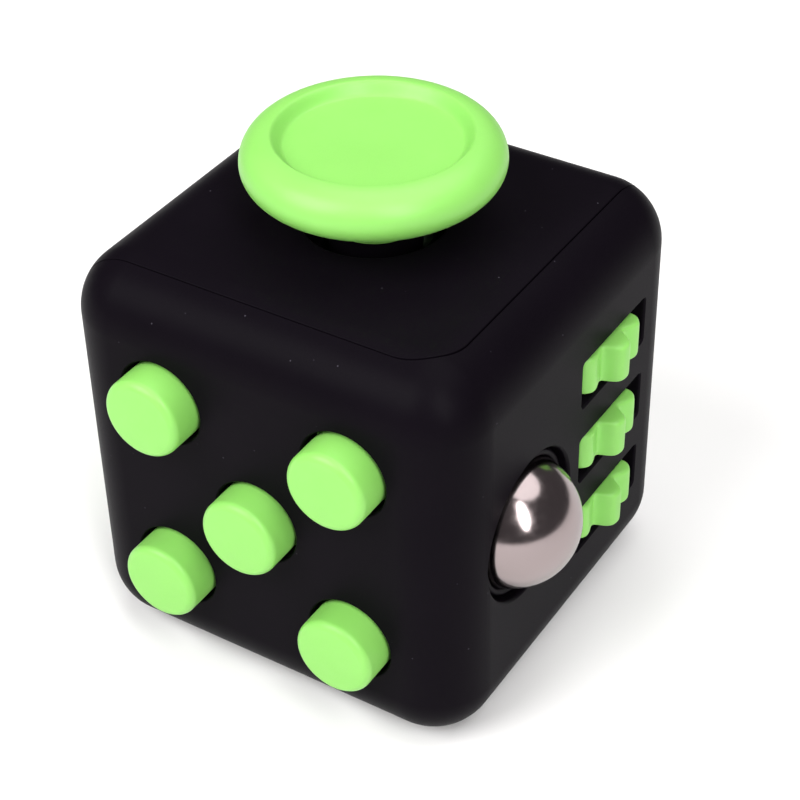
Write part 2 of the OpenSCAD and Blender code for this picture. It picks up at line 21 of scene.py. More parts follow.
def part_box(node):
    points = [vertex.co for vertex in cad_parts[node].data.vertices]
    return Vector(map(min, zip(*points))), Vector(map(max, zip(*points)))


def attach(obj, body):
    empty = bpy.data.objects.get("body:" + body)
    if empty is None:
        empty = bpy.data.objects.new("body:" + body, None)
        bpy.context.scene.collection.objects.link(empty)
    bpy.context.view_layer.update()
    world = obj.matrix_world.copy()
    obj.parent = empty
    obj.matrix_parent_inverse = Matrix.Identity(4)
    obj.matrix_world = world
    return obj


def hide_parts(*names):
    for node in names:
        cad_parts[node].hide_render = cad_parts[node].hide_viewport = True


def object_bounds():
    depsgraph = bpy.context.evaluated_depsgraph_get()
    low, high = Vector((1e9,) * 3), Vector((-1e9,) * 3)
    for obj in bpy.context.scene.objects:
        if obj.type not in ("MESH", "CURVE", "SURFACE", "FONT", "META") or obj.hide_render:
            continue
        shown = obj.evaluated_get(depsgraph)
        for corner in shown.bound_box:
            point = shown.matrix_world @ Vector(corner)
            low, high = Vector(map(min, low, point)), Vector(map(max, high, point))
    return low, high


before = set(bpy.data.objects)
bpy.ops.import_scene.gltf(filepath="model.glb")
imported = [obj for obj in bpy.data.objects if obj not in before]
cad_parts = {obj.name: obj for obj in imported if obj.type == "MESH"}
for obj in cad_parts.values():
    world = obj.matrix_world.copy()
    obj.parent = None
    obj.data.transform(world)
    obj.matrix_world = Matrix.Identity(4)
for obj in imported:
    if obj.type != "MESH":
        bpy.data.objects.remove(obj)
CAD_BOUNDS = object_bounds()

LOG = logging.getLogger("fidget_cube")
MM = 0.001
SMALL_SIDES = 32
ROUND_SIDES = 96
FINE_SIDES = 144
POLE = 1e-6
SAME_POINT = 1e-3
SHARP_EDGE = 38.0
SOFT_EDGE = 50.0
RIM_LIFT = 0.012

Outline = list[tuple[float, float, float]]
Profile = list[tuple[float, float]]
Spot = tuple[float, float]
Piece = bpy.types.Object
Tree = bpy.types.NodeTree
Socket = bpy.types.NodeSocket
Material = bpy.types.Material


class Join(Enum):
    """How a tool changes the body that it is put to."""

    ADD = "UNION"
    CUT = "DIFFERENCE"
    KEEP = "INTERSECT"


class Face(Enum):
    """A side of the cube, as the directions of its local x, its local y and its outward normal."""

    FRONT = ((1, 0, 0), (0, 0, 1), (0, -1, 0))
    RIGHT = ((0, 1, 0), (0, 0, 1), (1, 0, 0))
    BACK = ((-1, 0, 0), (0, 0, 1), (0, 1, 0))
    LEFT = ((0, -1, 0), (0, 0, 1), (-1, 0, 0))
    TOP = ((1, 0, 0), (0, 1, 0), (0, 0, 1))
    BASE = ((1, 0, 0), (0, -1, 0), (0, 0, -1))

    def place(self, half: float, x: float = 0.0, y: float = 0.0) -> Matrix:
        """Gives the transform from a spot on this face to the cube's frame.

        Args:
            half: Half the distance between opposite faces.
            x: The spot's local x, from the face's middle.
            y: The spot's local y, from the face's middle.

        Returns:
            The transform, in millimetres.
        """
        across, upward, outward = (Vector(axis) for axis in self.value)
        middle = Vector((0, 0, half)) + outward * half + across * x + upward * y
        return Matrix.Translation(middle) @ Matrix((across, upward, outward)).transposed().to_4x4()


@dataclass(frozen=True)
class Extent:
    """A CAD node's box at rest, in millimetres.

    Attributes:
        low: The lowest corner.
        high: The highest corner.
    """

    low: Vector
    high: Vector

    @classmethod
    def of(cls, node: str) -> Extent:
        """Reads the box of a CAD node by its name."""
        low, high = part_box(node)
        return cls(low / MM, high / MM)

    @property
    def middle(self) -> Vector:
        """The middle of the box."""
        return (self.low + self.high) / 2

    @property
    def size(self) -> Vector:
        """The box's three lengths."""
        return self.high - self.low


# ---- outlines and profiles ----


def circle(radius: float, z: float, sides: int = ROUND_SIDES) -> Outline:
    """Gives a circle at a height, counterclockwise.

    Args:
        radius: The circle's radius.
        z: The height.
        sides: Points round the circle.

    Returns:
        The circle's points, or one point where the radius is nothing.
    """
    if radius < POLE:
        return [(0.0, 0.0, z)]
    steps = (math.tau * i / sides for i in range(sides))
    return [(radius * math.cos(a), radius * math.sin(a), z) for a in steps]


def rounded_rectangle(half_x: float, half_y: float, corner: float, z: float, steps: int = 8) -> Outline:
    """Gives a rectangle with round corners at a height, counterclockwise.

    Args:
        half_x: Half its length along x.
        half_y: Half its length along y.
        corner: The corners' radius.
        z: The height.
        steps: Steps round a corner.

    Returns:
        The outline's points.
    """
    points = []
    for quarter, (side_x, side_y) in enumerate(((1, 1), (-1, 1), (-1, -1), (1, -1))):
        middle = (side_x * (half_x - corner), side_y * (half_y - corner))
        points += [(x, y, z) for x, y in arc(middle, corner, 90 * quarter, 90 * quarter + 90, steps)]
    return points


def arc(middle: Spot, radius: float, start: float, end: float, steps: int) -> Profile:
    """Gives points along an arc.

    Args:
        middle: The arc's middle.
        radius: Its radius.
        start: The first angle in degrees.
        end: The last angle in degrees.
        steps: How many steps the arc has.

    Returns:
        The points.
    """
    angles = (math.radians(start + (end - start) * step / steps) for step in range(steps + 1))
    return [(middle[0] + radius * math.cos(a), middle[1] + radius * math.sin(a)) for a in angles]


def mouth(rim: float, depth: float, steps: int = 6, reach: float = 1.0) -> Profile:
    """Gives the widening of a hole whose rim is rounded, from inside to outside.

    Args:
        rim: The radius of the rounded rim.
        depth: How far below the face the hole starts.
        steps: Steps along the rounding.
        reach: How far past the face the tool goes.

    Returns:
        Pairs of the widening and the height over the face.
    """
    return [(0.0, -depth), *arc((rim, RIM_LIFT - rim), rim, 180, 90, steps), (rim, reach)]


def smooth_step(share: float) -> float:
    """Eases a share from 0 to 1 with level ends."""
    return share * share * (3 - 2 * share)


# ---- meshes ----


def make_object(name: str, points: Sequence[Sequence[float]], faces: Sequence[Sequence[int]],
                place: Matrix = Matrix.Identity(4)) -> Piece:
    """Makes a mesh object with its place in its mesh, in millimetres.

    Args:
        name: The object's name.
        points: The mesh's points.
        faces: Its faces, as lists of point numbers.
        place: The transform that the points go through.

    Returns:
        The object.
    """
    mesh = bpy.data.meshes.new(name)
    mesh.from_pydata([tuple(point) for point in points], [], faces)
    mesh.transform(place)
    thing = bpy.data.objects.new(name, mesh)
    bpy.context.scene.collection.objects.link(thing)
    return thing


def loft(name: str, rings: Sequence[Outline], place: Matrix = Matrix.Identity(4)) -> Piece:
    """Joins outlines, from low to high, into a closed solid.

    Args:
        name: The object's name.
        rings: Counterclockwise outlines with as many points each, or with one point at a pole.
        place: The transform that the points go through.

    Returns:
        The object.
    """
    starts = np.cumsum([0] + [len(ring) for ring in rings]).tolist()
    faces = []
    for low, high in zip(range(len(rings) - 1), range(1, len(rings))):
        sides = max(len(rings[low]), len(rings[high]))
        for i in range(sides):
            j = (i + 1) % sides
            corners = [
                starts[low] + i % len(rings[low]), starts[low] + j % len(rings[low]),
                starts[high] + j % len(rings[high]), starts[high] + i % len(rings[high]),
            ]
            faces.append(list(dict.fromkeys(corners)))
    if len(rings[0]) > 1:
        faces.append(list(range(len(rings[0])))[::-1])
    if len(rings[-1]) > 1:
        faces.append(list(range(starts[-2], starts[-1])))
    return make_object(name, [point for ring in rings for point in ring], faces, place)


def lathe(name: str, profile: Profile, place: Matrix = Matrix.Identity(4), sides: int = ROUND_SIDES) -> Piece:
    """Turns a profile of (radius, height) pairs round the local z axis, from its lower end up."""
    return loft(name, [circle(radius, z, sides) for radius, z in profile], place)


def rounded_block(name: str, half: float, radius: float, middle: Vector, steps: int) -> Piece:
    """Makes a cube with every edge and corner rounded.

    Args:
        name: The object's name.
        half: Half the distance between opposite faces.
        radius: The rounding of the edges and corners.
        middle: The cube's middle.
        steps: Steps in half an edge's rounding.

    Returns:
        The object.
    """
    reach = half - radius
    slopes = [math.tan(math.radians(45 * step / steps)) for step in range(steps + 1)]
    stations = [(-reach, -slope) for slope in slopes[::-1]] + [(reach, slope) for slope in slopes]
    count = len(stations)
    points, faces = [], []
    for face in Face:
        axes = [Vector(axis) for axis in face.value]
        start = len(points)
        for core_v, slope_v in stations:
            for core_u, slope_u in stations:
                lean = Vector((slope_u, slope_v, 1)).normalized() * radius
                local = Vector((core_u, core_v, reach)) + lean
                points.append(middle + axes[0] * local.x + axes[1] * local.y + axes[2] * local.z)
        for row in range(count - 1):
            for column in range(count - 1):
                a = start + row * count + column
                faces.append([a, a + 1, a + 1 + count, a + count])
    block = make_object(name, points, faces)
    weld(block, SAME_POINT)
    return block


def weld(thing: Piece, distance: float) -> None:
    """Merges a mesh's points that lie close together.

    Args:
        thing: The object.
        distance: How close they lie, in the mesh's own units.
    """
    grid = bmesh.new()
    grid.from_mesh(thing.data)
    bmesh.ops.remove_doubles(grid, verts=grid.verts, dist=distance)
    bmesh.ops.dissolve_degenerate(grid, dist=distance, edges=grid.edges)
    grid.to_mesh(thing.data)
    grid.free()


def settle(thing: Piece) -> None:
    """Puts the result of an object's modifiers into its mesh and takes the modifiers off.

    Args:
        thing: The object.
    """
    graph = bpy.context.evaluated_depsgraph_get()
    made = bpy.data.meshes.new_from_object(
        thing.evaluated_get(graph), preserve_all_data_layers=True, depsgraph=graph)
    thing.modifiers.clear()
    thing.data = made


def combine(body: Piece, tools: Iterable[Piece], how: Join) -> None:
    """Puts tools to a body in turn, and removes them.

    Args:
        body: The body.
        tools: The tools.
        how: What they do to it.
    """
    tools = list(tools)
    for tool in tools:
        modifier = body.modifiers.new(tool.name, "BOOLEAN")
        modifier.operation = how.value
        modifier.solver = "MANIFOLD"
        modifier.object = tool
    settle(body)
    for tool in tools:
        bpy.data.objects.remove(tool)


def soften(thing: Piece, width: float, segments: int, angle: float = 30.0) -> None:
    """Rounds a mesh's sharp edges.

    Args:
        thing: The object.
        width: The rounding in millimetres.
        segments: Steps across the rounding.
        angle: Edges sharper than this many degrees are rounded.
    """
    modifier = thing.modifiers.new("soften", "BEVEL")
    modifier.width = width
    modifier.segments = segments
    modifier.limit_method = "ANGLE"
    modifier.angle_limit = math.radians(angle)
    settle(thing)


def shade(thing: Piece, sharp: float = SHARP_EDGE) -> None:
    """Shades a mesh smooth, but for edges sharper than so many degrees."""
    thing.data.shade_smooth()
    thing.data.set_sharp_from_angle(angle=math.radians(sharp))


def finish_mesh(thing: Piece, sharp: float = SHARP_EDGE) -> None:
    """Shades a mesh and turns its millimetres into metres.

    Args:
        thing: The object.
        sharp: Edges sharper than this many degrees stay sharp.
    """
    shade(thing, sharp)
    modifier = thing.modifiers.new("flat_faces_stay_flat", "WEIGHTED_NORMAL")
    modifier.keep_sharp = True
    modifier.weight = 100
    settle(thing)
    thing.data.transform(Matrix.Scale(MM, 4))
    thing.data.name = thing.name


# ---- nodes ----


def add_node(tree: Tree, kind: str, inputs: dict[str | int, object] | None = None,
             **settings: object) -> bpy.types.Node:
    """Adds a node with its settings, values and links.

    Args:
        tree: The tree that the node goes in.
        kind: The node's type.
        inputs: A value or an output socket for each input, by the input's name or number.
        **settings: The node's own settings.

    Returns:
        The node.
    """
    node = tree.nodes.new(kind)
    for key, value in settings.items():
        setattr(node, key, value)
    for key, value in (inputs or {}).items():
        if isinstance(value, Socket):
            tree.links.new(value, node.inputs[key])
        else:
            node.inputs[key].default_value = value
    return node


def calculate(tree: Tree, known: dict[str, Socket], steps: Iterable[tuple]) -> dict[str, Socket]:
    """Adds a chain of sums to a tree.

    Args:
        tree: The tree.
        known: Sockets by name.
        steps: For each sum its name, its operation, and its terms, which are names or numbers.

    Returns:
        The sockets that were known and the ones that were worked out, by name.
    """
    values = dict(known)
    for name, operation, *terms in steps:
        inputs = {i: values[term] if isinstance(term, str) else term for i, term in enumerate(terms)}
        values[name] = add_node(tree, "ShaderNodeMath", inputs, operation=operation).outputs[0]
    return values


def start_tree(name: str, inputs: dict[str, str], output: str) -> tuple[Tree, dict[str, Socket]]:
    """Starts a geometry tree with its named sockets.

    Args:
        name: The tree's name.
        inputs: The kind of each input, by the input's name.
        output: The output's name.

    Returns:
        The tree and its inputs' sockets.
    """
    tree = bpy.data.node_groups.new(name, "GeometryNodeTree")
    for label, kind in inputs.items():
        tree.interface.new_socket(label, in_out="INPUT", socket_type=f"NodeSocket{kind}")
    tree.interface.new_socket(output, in_out="OUTPUT", socket_type="NodeSocketGeometry")
    return tree, add_node(tree, "NodeGroupInput").outputs


def end_tree(tree: Tree, shape: Socket, finish: Socket, output: str) -> None:
    """Makes a geometry tree's instances real, gives them their finish and hands them out.

    Args:
        tree: The tree.
        shape: The geometry so far.
        finish: The material.
        output: The output's name.
    """
    real = add_node(tree, "GeometryNodeRealizeInstances", {"Geometry": shape})
    dressed = add_node(tree, "GeometryNodeSetMaterial", {
        "Geometry": real.outputs["Geometry"], "Material": finish})
    add_node(tree, "NodeGroupOutput", {output: dressed.outputs["Geometry"]})


def linear(code: str) -> tuple[float, float, float, float]:
    """Turns an sRGB hex colour into linear values.

    Args:
        code: The colour, as #rrggbb.

    Returns:
        Its linear red, green and blue, and an alpha of one.
    """
    parts = [int(code[i:i + 2], 16) / 255 for i in (1, 3, 5)]
    red, green, blue = (c / 12.92 if c <= 0.04045 else ((c + 0.055) / 1.055) ** 2.4 for c in parts)
    return red, green, blue, 1.0


def per_metre(size: float) -> float:
    """Gives a texture's scale for a feature of a size in millimetres."""
    return 1 / (size * MM)


# ---- finishes ----


@dataclass(frozen=True)
class Finish:
    """What the finishes share.

    Attributes:
        name: The material's name.
        colour: The surface's colour, as sRGB hex.
    """

    name: str
    colour: str

    def start(self) -> tuple[Material, Tree, bpy.types.Node, Socket]:
        """Makes the bare material.

        Returns:
            The material, its tree, its shader and the object coordinates.
        """
        material = bpy.data.materials.new(self.name)
        material.use_nodes = True
        tree = material.node_tree
        place = add_node(tree, "ShaderNodeTexCoord").outputs["Object"]
        return material, tree, tree.nodes["Principled BSDF"], place


@dataclass(frozen=True)
class MouldedPlastic(Finish):
    """Injection-moulded plastic with a spark-eroded tool texture.

    Attributes:
        mottle: A neighbouring colour that shows in soft clouds, as pigment does.
        mottle_size: Size of the clouds in millimetres.
        grain: Size of the texture's grain in millimetres.
        grain_depth: Depth of the grain in millimetres.
        roughness: The least and the most roughness.
        specular: The plastic's reflection level, where 0.5 is a bare IOR of 1.5.
        speck: Colour of the fine dust that a black moulding shows, or nothing for none.
        glow: Share of the light that scatters under the skin of a light plastic.
        ior: The plastic's index of refraction.
        scatter: How far red, green and blue scatter, in millimetres.
    """

    mottle: str
    mottle_size: float = 6.0
    grain: float = 0.14
    grain_depth: float = 0.006
    roughness: tuple[float, float] = (0.46, 0.56)
    specular: float = 0.5
    speck: str = ""
    glow: float = 0.0
    ior: float = 1.53
    scatter: tuple[float, float, float] = (0.36, 0.6, 0.21)

    def make(self) -> Material:
        """Builds the material.

        Returns:
            The material.
        """
        material, tree, shader, place = self.start()
        shader.inputs["IOR"].default_value = self.ior
        shader.inputs["Specular IOR Level"].default_value = self.specular
        clouds = add_node(tree, "ShaderNodeTexNoise", {
            "Vector": place, "Scale": per_metre(self.mottle_size), "Detail": 3.0, "Roughness": 0.55})
        grain = add_node(tree, "ShaderNodeTexNoise", {
            "Vector": place, "Scale": per_metre(self.grain), "Detail": 2.0, "Roughness": 0.6})
        tint = add_node(tree, "ShaderNodeMix", {
            "Factor": clouds.outputs["Fac"], 6: linear(self.colour),
            7: linear(self.mottle)}, data_type="RGBA")
        colour = tint.outputs[2]
        if self.speck:
            colour = self.add_specks(tree, place, colour)
        tree.links.new(colour, shader.inputs["Base Color"])
        satin = add_node(tree, "ShaderNodeMapRange", {
            "Value": grain.outputs["Fac"], "From Min": 0.3, "From Max": 0.7,
            "To Min": self.roughness[0], "To Max": self.roughness[1]})
        tree.links.new(satin.outputs["Result"], shader.inputs["Roughness"])
        relief = add_node(tree, "ShaderNodeBump", {
            "Height": grain.outputs["Fac"], "Strength": 1.0, "Distance": self.grain_depth * MM})
        tree.links.new(relief.outputs["Normal"], shader.inputs["Normal"])
        if self.glow:
            shader.inputs["Subsurface Weight"].default_value = self.glow
            shader.inputs["Subsurface Radius"].default_value = self.scatter
            shader.inputs["Subsurface Scale"].default_value = MM
        return material

    def add_specks(self, tree: Tree, place: Socket, colour: Socket) -> Socket:
        """Mixes sparse specks of dust into a colour.

        Args:
            tree: The material's tree.
            place: The object coordinates.
            colour: The colour under the specks.

        Returns:
            The mixed colour.
        """
        # a cell of 1.6 mm holds one speck of about 0.06 mm, which is as fine as shows
        cells = add_node(tree, "ShaderNodeTexVoronoi", {"Vector": place, "Scale": per_metre(1.6)})
        near = add_node(tree, "ShaderNodeMapRange", {
            "Value": cells.outputs["Distance"], "From Min": 0.02, "From Max": 0.045,
            "To Min": 0.5, "To Max": 0.0})
        return add_node(tree, "ShaderNodeMix", {
            "Factor": near.outputs["Result"], 6: colour, 7: linear(self.speck)}, data_type="RGBA").outputs[2]


@dataclass(frozen=True)
class Steel(Finish):
    """Steel, from a polished ball to drawn pins and rolled spring strip.

    Attributes:
        roughness: The least and the most roughness.
        scratch: Width of the working marks in millimetres.
        scratch_depth: Depth of the marks in millimetres.
        stretch: How much longer than wide a mark is, along x, y and z.
    """

    roughness: tuple[float, float]
    scratch: float
    scratch_depth: float
    stretch: tuple[float, float, float] = (1.0, 1.0, 1.0)

    def make(self) -> Material:
        """Builds the material.

        Returns:
            The material.
        """
        material, tree, shader, place = self.start()
        shader.inputs["Base Color"].default_value = linear(self.colour)
        shader.inputs["Metallic"].default_value = 1.0
        drawn = add_node(tree, "ShaderNodeMapping", {
            "Vector": place, "Scale": [1 / length for length in self.stretch]})
        marks = add_node(tree, "ShaderNodeTexNoise", {
            "Vector": drawn.outputs["Vector"], "Scale": per_metre(self.scratch), "Detail": 4.0})
        haze = add_node(tree, "ShaderNodeMapRange", {
            "Value": marks.outputs["Fac"], "From Min": 0.35, "From Max": 0.7,
            "To Min": self.roughness[0], "To Max": self.roughness[1]})
        tree.links.new(haze.outputs["Result"], shader.inputs["Roughness"])
        relief = add_node(tree, "ShaderNodeBump", {
            "Height": marks.outputs["Fac"], "Strength": 1.0, "Distance": self.scratch_depth * MM})
        tree.links.new(relief.outputs["Normal"], shader.inputs["Normal"])
        return material


@dataclass(frozen=True)
class Felt(Finish):
    """Pressed wool felt: matt, with short loose fibres.

    Attributes:
        fibre_colour: The colour of the loose fibres, as sRGB hex.
        fibre: Thickness of a bundle of fibres in millimetres.
        nap: How far the fibres stand up, in millimetres.
    """

    fibre_colour: str
    fibre: float = 0.12
    nap: float = 0.03

    def make(self) -> Material:
        """Builds the material.

        Returns:
            The material.
        """
        material, tree, shader, place = self.start()
        shader.inputs["Roughness"].default_value = 0.95
        shader.inputs["Sheen Weight"].default_value = 0.3
        fibres = add_node(tree, "ShaderNodeTexNoise", {
            "Vector": place, "Scale": per_metre(self.fibre), "Detail": 5.0, "Distortion": 1.2})
        tint = add_node(tree, "ShaderNodeMix", {
            "Factor": fibres.outputs["Fac"], 6: linear(self.colour),
            7: linear(self.fibre_colour)}, data_type="RGBA")
        tree.links.new(tint.outputs[2], shader.inputs["Base Color"])
        relief = add_node(tree, "ShaderNodeBump", {
            "Height": fibres.outputs["Fac"], "Strength": 1.0, "Distance": self.nap * MM})
        tree.links.new(relief.outputs["Normal"], shader.inputs["Normal"])
        return material


@dataclass
class Finishes:
    """The object's finishes, built once and shared by its pieces."""

    # satin black ABS with a fine spark texture: a dull violet-black that shows soft sheen on its roundings
    shell_black: Material = field(default_factory=lambda: MouldedPlastic(
        "shell_black_abs", "#0b080d", "#0f0b11", grain=0.13, grain_depth=0.005, roughness=(0.38, 0.46),
        specular=0.022, speck="#5a5660").make())
    # satin lime ABS, pigment evenly mixed: soft wide highlights, light scattering a little at thin edges
    control_green: Material = field(default_factory=lambda: MouldedPlastic(
        "control_green_abs", "#84c85c", "#89cc61", mottle_size=3.0, grain=0.16, grain_depth=0.004,
        roughness=(0.36, 0.46), specular=0.35, glow=0.15).make())
    # grey acetal, as moulded: duller than the shells, with a slight waxy look
    inner_plastic: Material = field(default_factory=lambda: MouldedPlastic(
        "inner_grey_acetal", "#85878c", "#7b7d82", mottle_size=4.0, grain=0.2, grain_depth=0.004,
        roughness=(0.4, 0.5)).make())
    # tumbled and polished bearing steel: a mirror with the faintest haze
    ball_steel: Material = field(default_factory=lambda: Steel(
        "polished_ball_steel", "#998d8d", (0.14, 0.2), 0.5, 0.0006).make())
    # drawn and turned mild steel: fine lines along the pin
    pin_steel: Material = field(default_factory=lambda: Steel(
        "drawn_pin_steel", "#b9b8b5", (0.22, 0.34), 0.08, 0.002, (1, 1, 12)).make())
    # rolled and tempered strip: straw-grey with lines along the strip
    spring_steel: Material = field(default_factory=lambda: Steel(
        "rolled_spring_steel", "#a9a597", (0.26, 0.38), 0.07, 0.002, (1, 10, 1)).make())
    # translucent silicone rubber, cast: milky and soft-edged
    silicone: Material = field(default_factory=lambda: MouldedPlastic(
        "milky_silicone", "#dedcd4", "#d3d1c8", mottle_size=2.5, grain=0.3, grain_depth=0.003,
        roughness=(0.5, 0.6), glow=0.4).make())
    # pressed grey wool felt
    felt: Material = field(default_factory=lambda: Felt(
        "pressed_grey_felt", "#4a4a4f", "#6a6a70").make())


def hand_over(piece: Piece, node: str, body: str, material: Material) -> None:
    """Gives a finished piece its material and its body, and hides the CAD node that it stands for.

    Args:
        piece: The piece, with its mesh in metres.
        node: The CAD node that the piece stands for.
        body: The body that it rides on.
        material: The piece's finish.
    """
    piece.data.materials.clear()
    piece.data.materials.append(material)
    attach(piece, body)
    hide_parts(node)
    LOG.info("%s: %d faces, rides on %s", piece.name, len(piece.data.polygons), body)


# ---- screws and their seats ----


@dataclass(frozen=True)
class ScrewSeat:
    """Where a screw holds a plate against a boss.

    Attributes:
        face: The face that the screw points at.
        x: The seat's local x on that face.
        y: The seat's local y on that face.
        depth: Depth of the boss's end below the face.
    """

    face: Face
    x: float
    y: float
    depth: float


@dataclass
class Fixings:
    """The nine pan-head screws and the bosses that they hold in.

    Attributes:
        half: Half the cube's size.
    """

    half: float
    plate: float = 1.0
    boss_radius: float = 1.4
    boss_chamfer: float = 0.15
    pilot_radius: float = 0.75
    pilot_spare: float = 0.2
    shank_radius: float = 0.7
    length: float = 3.6
    head_radius: float = 1.35
    head_height: float = 0.9
    head_rounding: float = 0.5
    recess_length: float = 0.8
    recess_width: float = 0.17
    thread_pitch: float = 0.6
    thread_start: float = 0.4
    click_seats: tuple[Spot, ...] = ((0, -9.5), (0, 9.5), (-9.6, 0))
    click_depth: float = 5.2
    bracket_depth: float = 9.48
    cage_depth: float = 9.1
    bracket_reach: float = 8.38
    cage_reach: float = 6.6
    housing_reach: float = 9.749

    def seats(self) -> list[ScrewSeat]:
        """Gives the seats of all the screws.

        Returns:
            The click side's three, then by turns the ball's, the rollers' and the rocker's.
        """
        ball = Extent.of("steel_ball").middle
        axle = Extent.of("roller_axle").middle
        pitch = Extent.of("roller_top").middle.z - Extent.of("roller_middle").middle.z
        seats = [ScrewSeat(Face.FRONT, x, y, self.click_depth) for x, y in self.click_seats]
        for side in (-1, 1):
            seats.append(ScrewSeat(
                Face.RIGHT, ball.y, ball.z - self.half + side * self.bracket_reach, self.bracket_depth))
            seats.append(ScrewSeat(Face.RIGHT, axle.y + self.cage_reach, side * pitch / 2, self.cage_depth))
            seats.append(ScrewSeat(Face.BACK, 0, side * self.housing_reach, self.click_depth))
        return seats

    def on_seats(self, name: str, faces: Sequence[Face],
                 profile: Callable[[ScrewSeat], Profile]) -> list[Piece]:
        """Turns a profile at every seat on some faces.

        Args:
            name: The pieces' name.
            faces: The faces.
            profile: Gives a seat's profile, with its heights from the boss's end.

        Returns:
            The turned pieces.
        """
        return [
            lathe(name, [(radius, z - seat.depth) for radius, z in profile(seat)],
                  seat.face.place(self.half, seat.x, seat.y), SMALL_SIDES)
            for seat in self.seats() if seat.face in faces
        ]

    def bosses(self, faces: Sequence[Face], wall: float) -> list[Piece]:
        """Makes the bosses on some faces.

        Args:
            faces: The faces.
            wall: The wall's thickness, in whose middle the bosses are rooted.

        Returns:
            The bosses.
        """
        radius, chamfer = self.boss_radius, self.boss_chamfer
        return self.on_seats("boss", faces, lambda seat: [
            (0, 0), (radius - chamfer, 0), (radius, chamfer), (radius, seat.depth - wall / 2),
            (0, seat.depth - wall / 2)])

    def pilots(self, faces: Sequence[Face]) -> list[Piece]:
        """Makes the tools that drill the bosses on some faces.

        Args:
            faces: The faces.

        Returns:
            The tools.
        """
        radius = self.pilot_radius
        drilled = self.length - self.plate + self.pilot_spare
        return self.on_seats("pilot", faces, lambda seat: [
            (0, -0.5), (radius, -0.5), (radius, drilled), (0, drilled + 0.3)])

    def screw(self) -> Piece:
        """Makes one pan-head screw.

        Returns:
            The screw, pointing along +Z, with its head's underside at the origin, in metres.
        """
        core = self.shank_radius * 0.8
        turns = int((self.length - 2 * self.thread_start) / self.thread_pitch)
        thread = []
        for turn in range(turns):
            low = self.thread_start + turn * self.thread_pitch
            thread += [(radius, low + self.thread_pitch * share) for radius, share in (
                (core, 0), (self.shank_radius, 0.35), (self.shank_radius, 0.5), (core, 0.8))]
        bend = self.head_rounding
        crown = arc((self.head_radius - bend, bend - self.head_height), bend, -90, 0, 6)
        profile = [(0, -self.head_height), *crown, (self.head_radius, 0), (self.shank_radius, 0),
                   (core, 0.3), *thread, (core * 0.5, self.length - 0.15), (0, self.length)]
        screw = lathe("screw", profile, sides=SMALL_SIDES)
        sides = (self.recess_length, self.recess_width)
        recess = [
            loft("recess", [rounded_rectangle(long, wide, 0.08, -self.head_height - 0.2, 3),
                            rounded_rectangle(long * 0.8, wide * 0.8, 0.06, -self.head_height * 0.45, 3)])
            for long, wide in (sides, sides[::-1])
        ]
        combine(screw, recess, Join.CUT)
        screw.data.transform(Matrix.Scale(MM, 4))
        return screw

    def tree(self) -> Tree:
        """Builds the tree that puts a screw at every point, along the point's own drive direction.

        Returns:
            The tree.
        """
        tree, given = start_tree("screws_on_seats", {
            "Seats": "Geometry", "Screw": "Object", "Screw Size": "Float", "Finish": "Material"}, "Screws")
        shape = add_node(tree, "GeometryNodeObjectInfo", {"Object": given["Screw"]})
        drive = add_node(tree, "GeometryNodeInputNamedAttribute", {"Name": "drive"}, data_type="FLOAT_VECTOR")
        turn = add_node(tree, "FunctionNodeAlignRotationToVector", {
            "Vector": drive.outputs["Attribute"]}, axis="Z")
        placed = add_node(tree, "GeometryNodeInstanceOnPoints", {
            "Points": given["Seats"], "Instance": shape.outputs["Geometry"],
            "Rotation": turn.outputs["Rotation"], "Scale": given["Screw Size"]})
        end_tree(tree, placed.outputs["Instances"], given["Finish"], "Screws")
        return tree

    def build(self, finishes: Finishes) -> None:
        """Puts the screws in their seats and hands them over.

        Args:
            finishes: The object's finishes.
        """
        seats = self.seats()
        places = [seat.face.place(self.half, seat.x, seat.y) @ Vector((0, 0, -seat.depth - self.plate))
                  for seat in seats]
        screws = make_object("shell_screws", [place * MM for place in places], [])
        drive = screws.data.attributes.new("drive", "FLOAT_VECTOR", "POINT")
        drive.data.foreach_set("vector", [part for seat in seats for part in seat.face.value[2]])
        screw = self.screw()
        grow(screws, self.tree(), {"Screw": screw, "Screw Size": 1.0, "Finish": finishes.pin_steel})
        bpy.data.objects.remove(screw)
        shade(screws)
        hand_over(screws, "housing_screws", "root", finishes.pin_steel)


def grow(thing: Piece, tree: Tree, values: dict[str, object]) -> None:
    """Runs a geometry tree on an object and keeps its result as a plain mesh.

    Args:
        thing: The object that the tree works on.
        tree: The tree.
        values: The tree's inputs by name.
    """
    modifier = thing.modifiers.new(tree.name, "NODES")
    modifier.node_group = tree
    for item in tree.interface.items_tree:
        if item.item_type == "SOCKET" and item.in_out == "INPUT" and item.name in values:
            modifier[item.identifier] = values[item.name]
    settle(thing)


# ---- shells ----


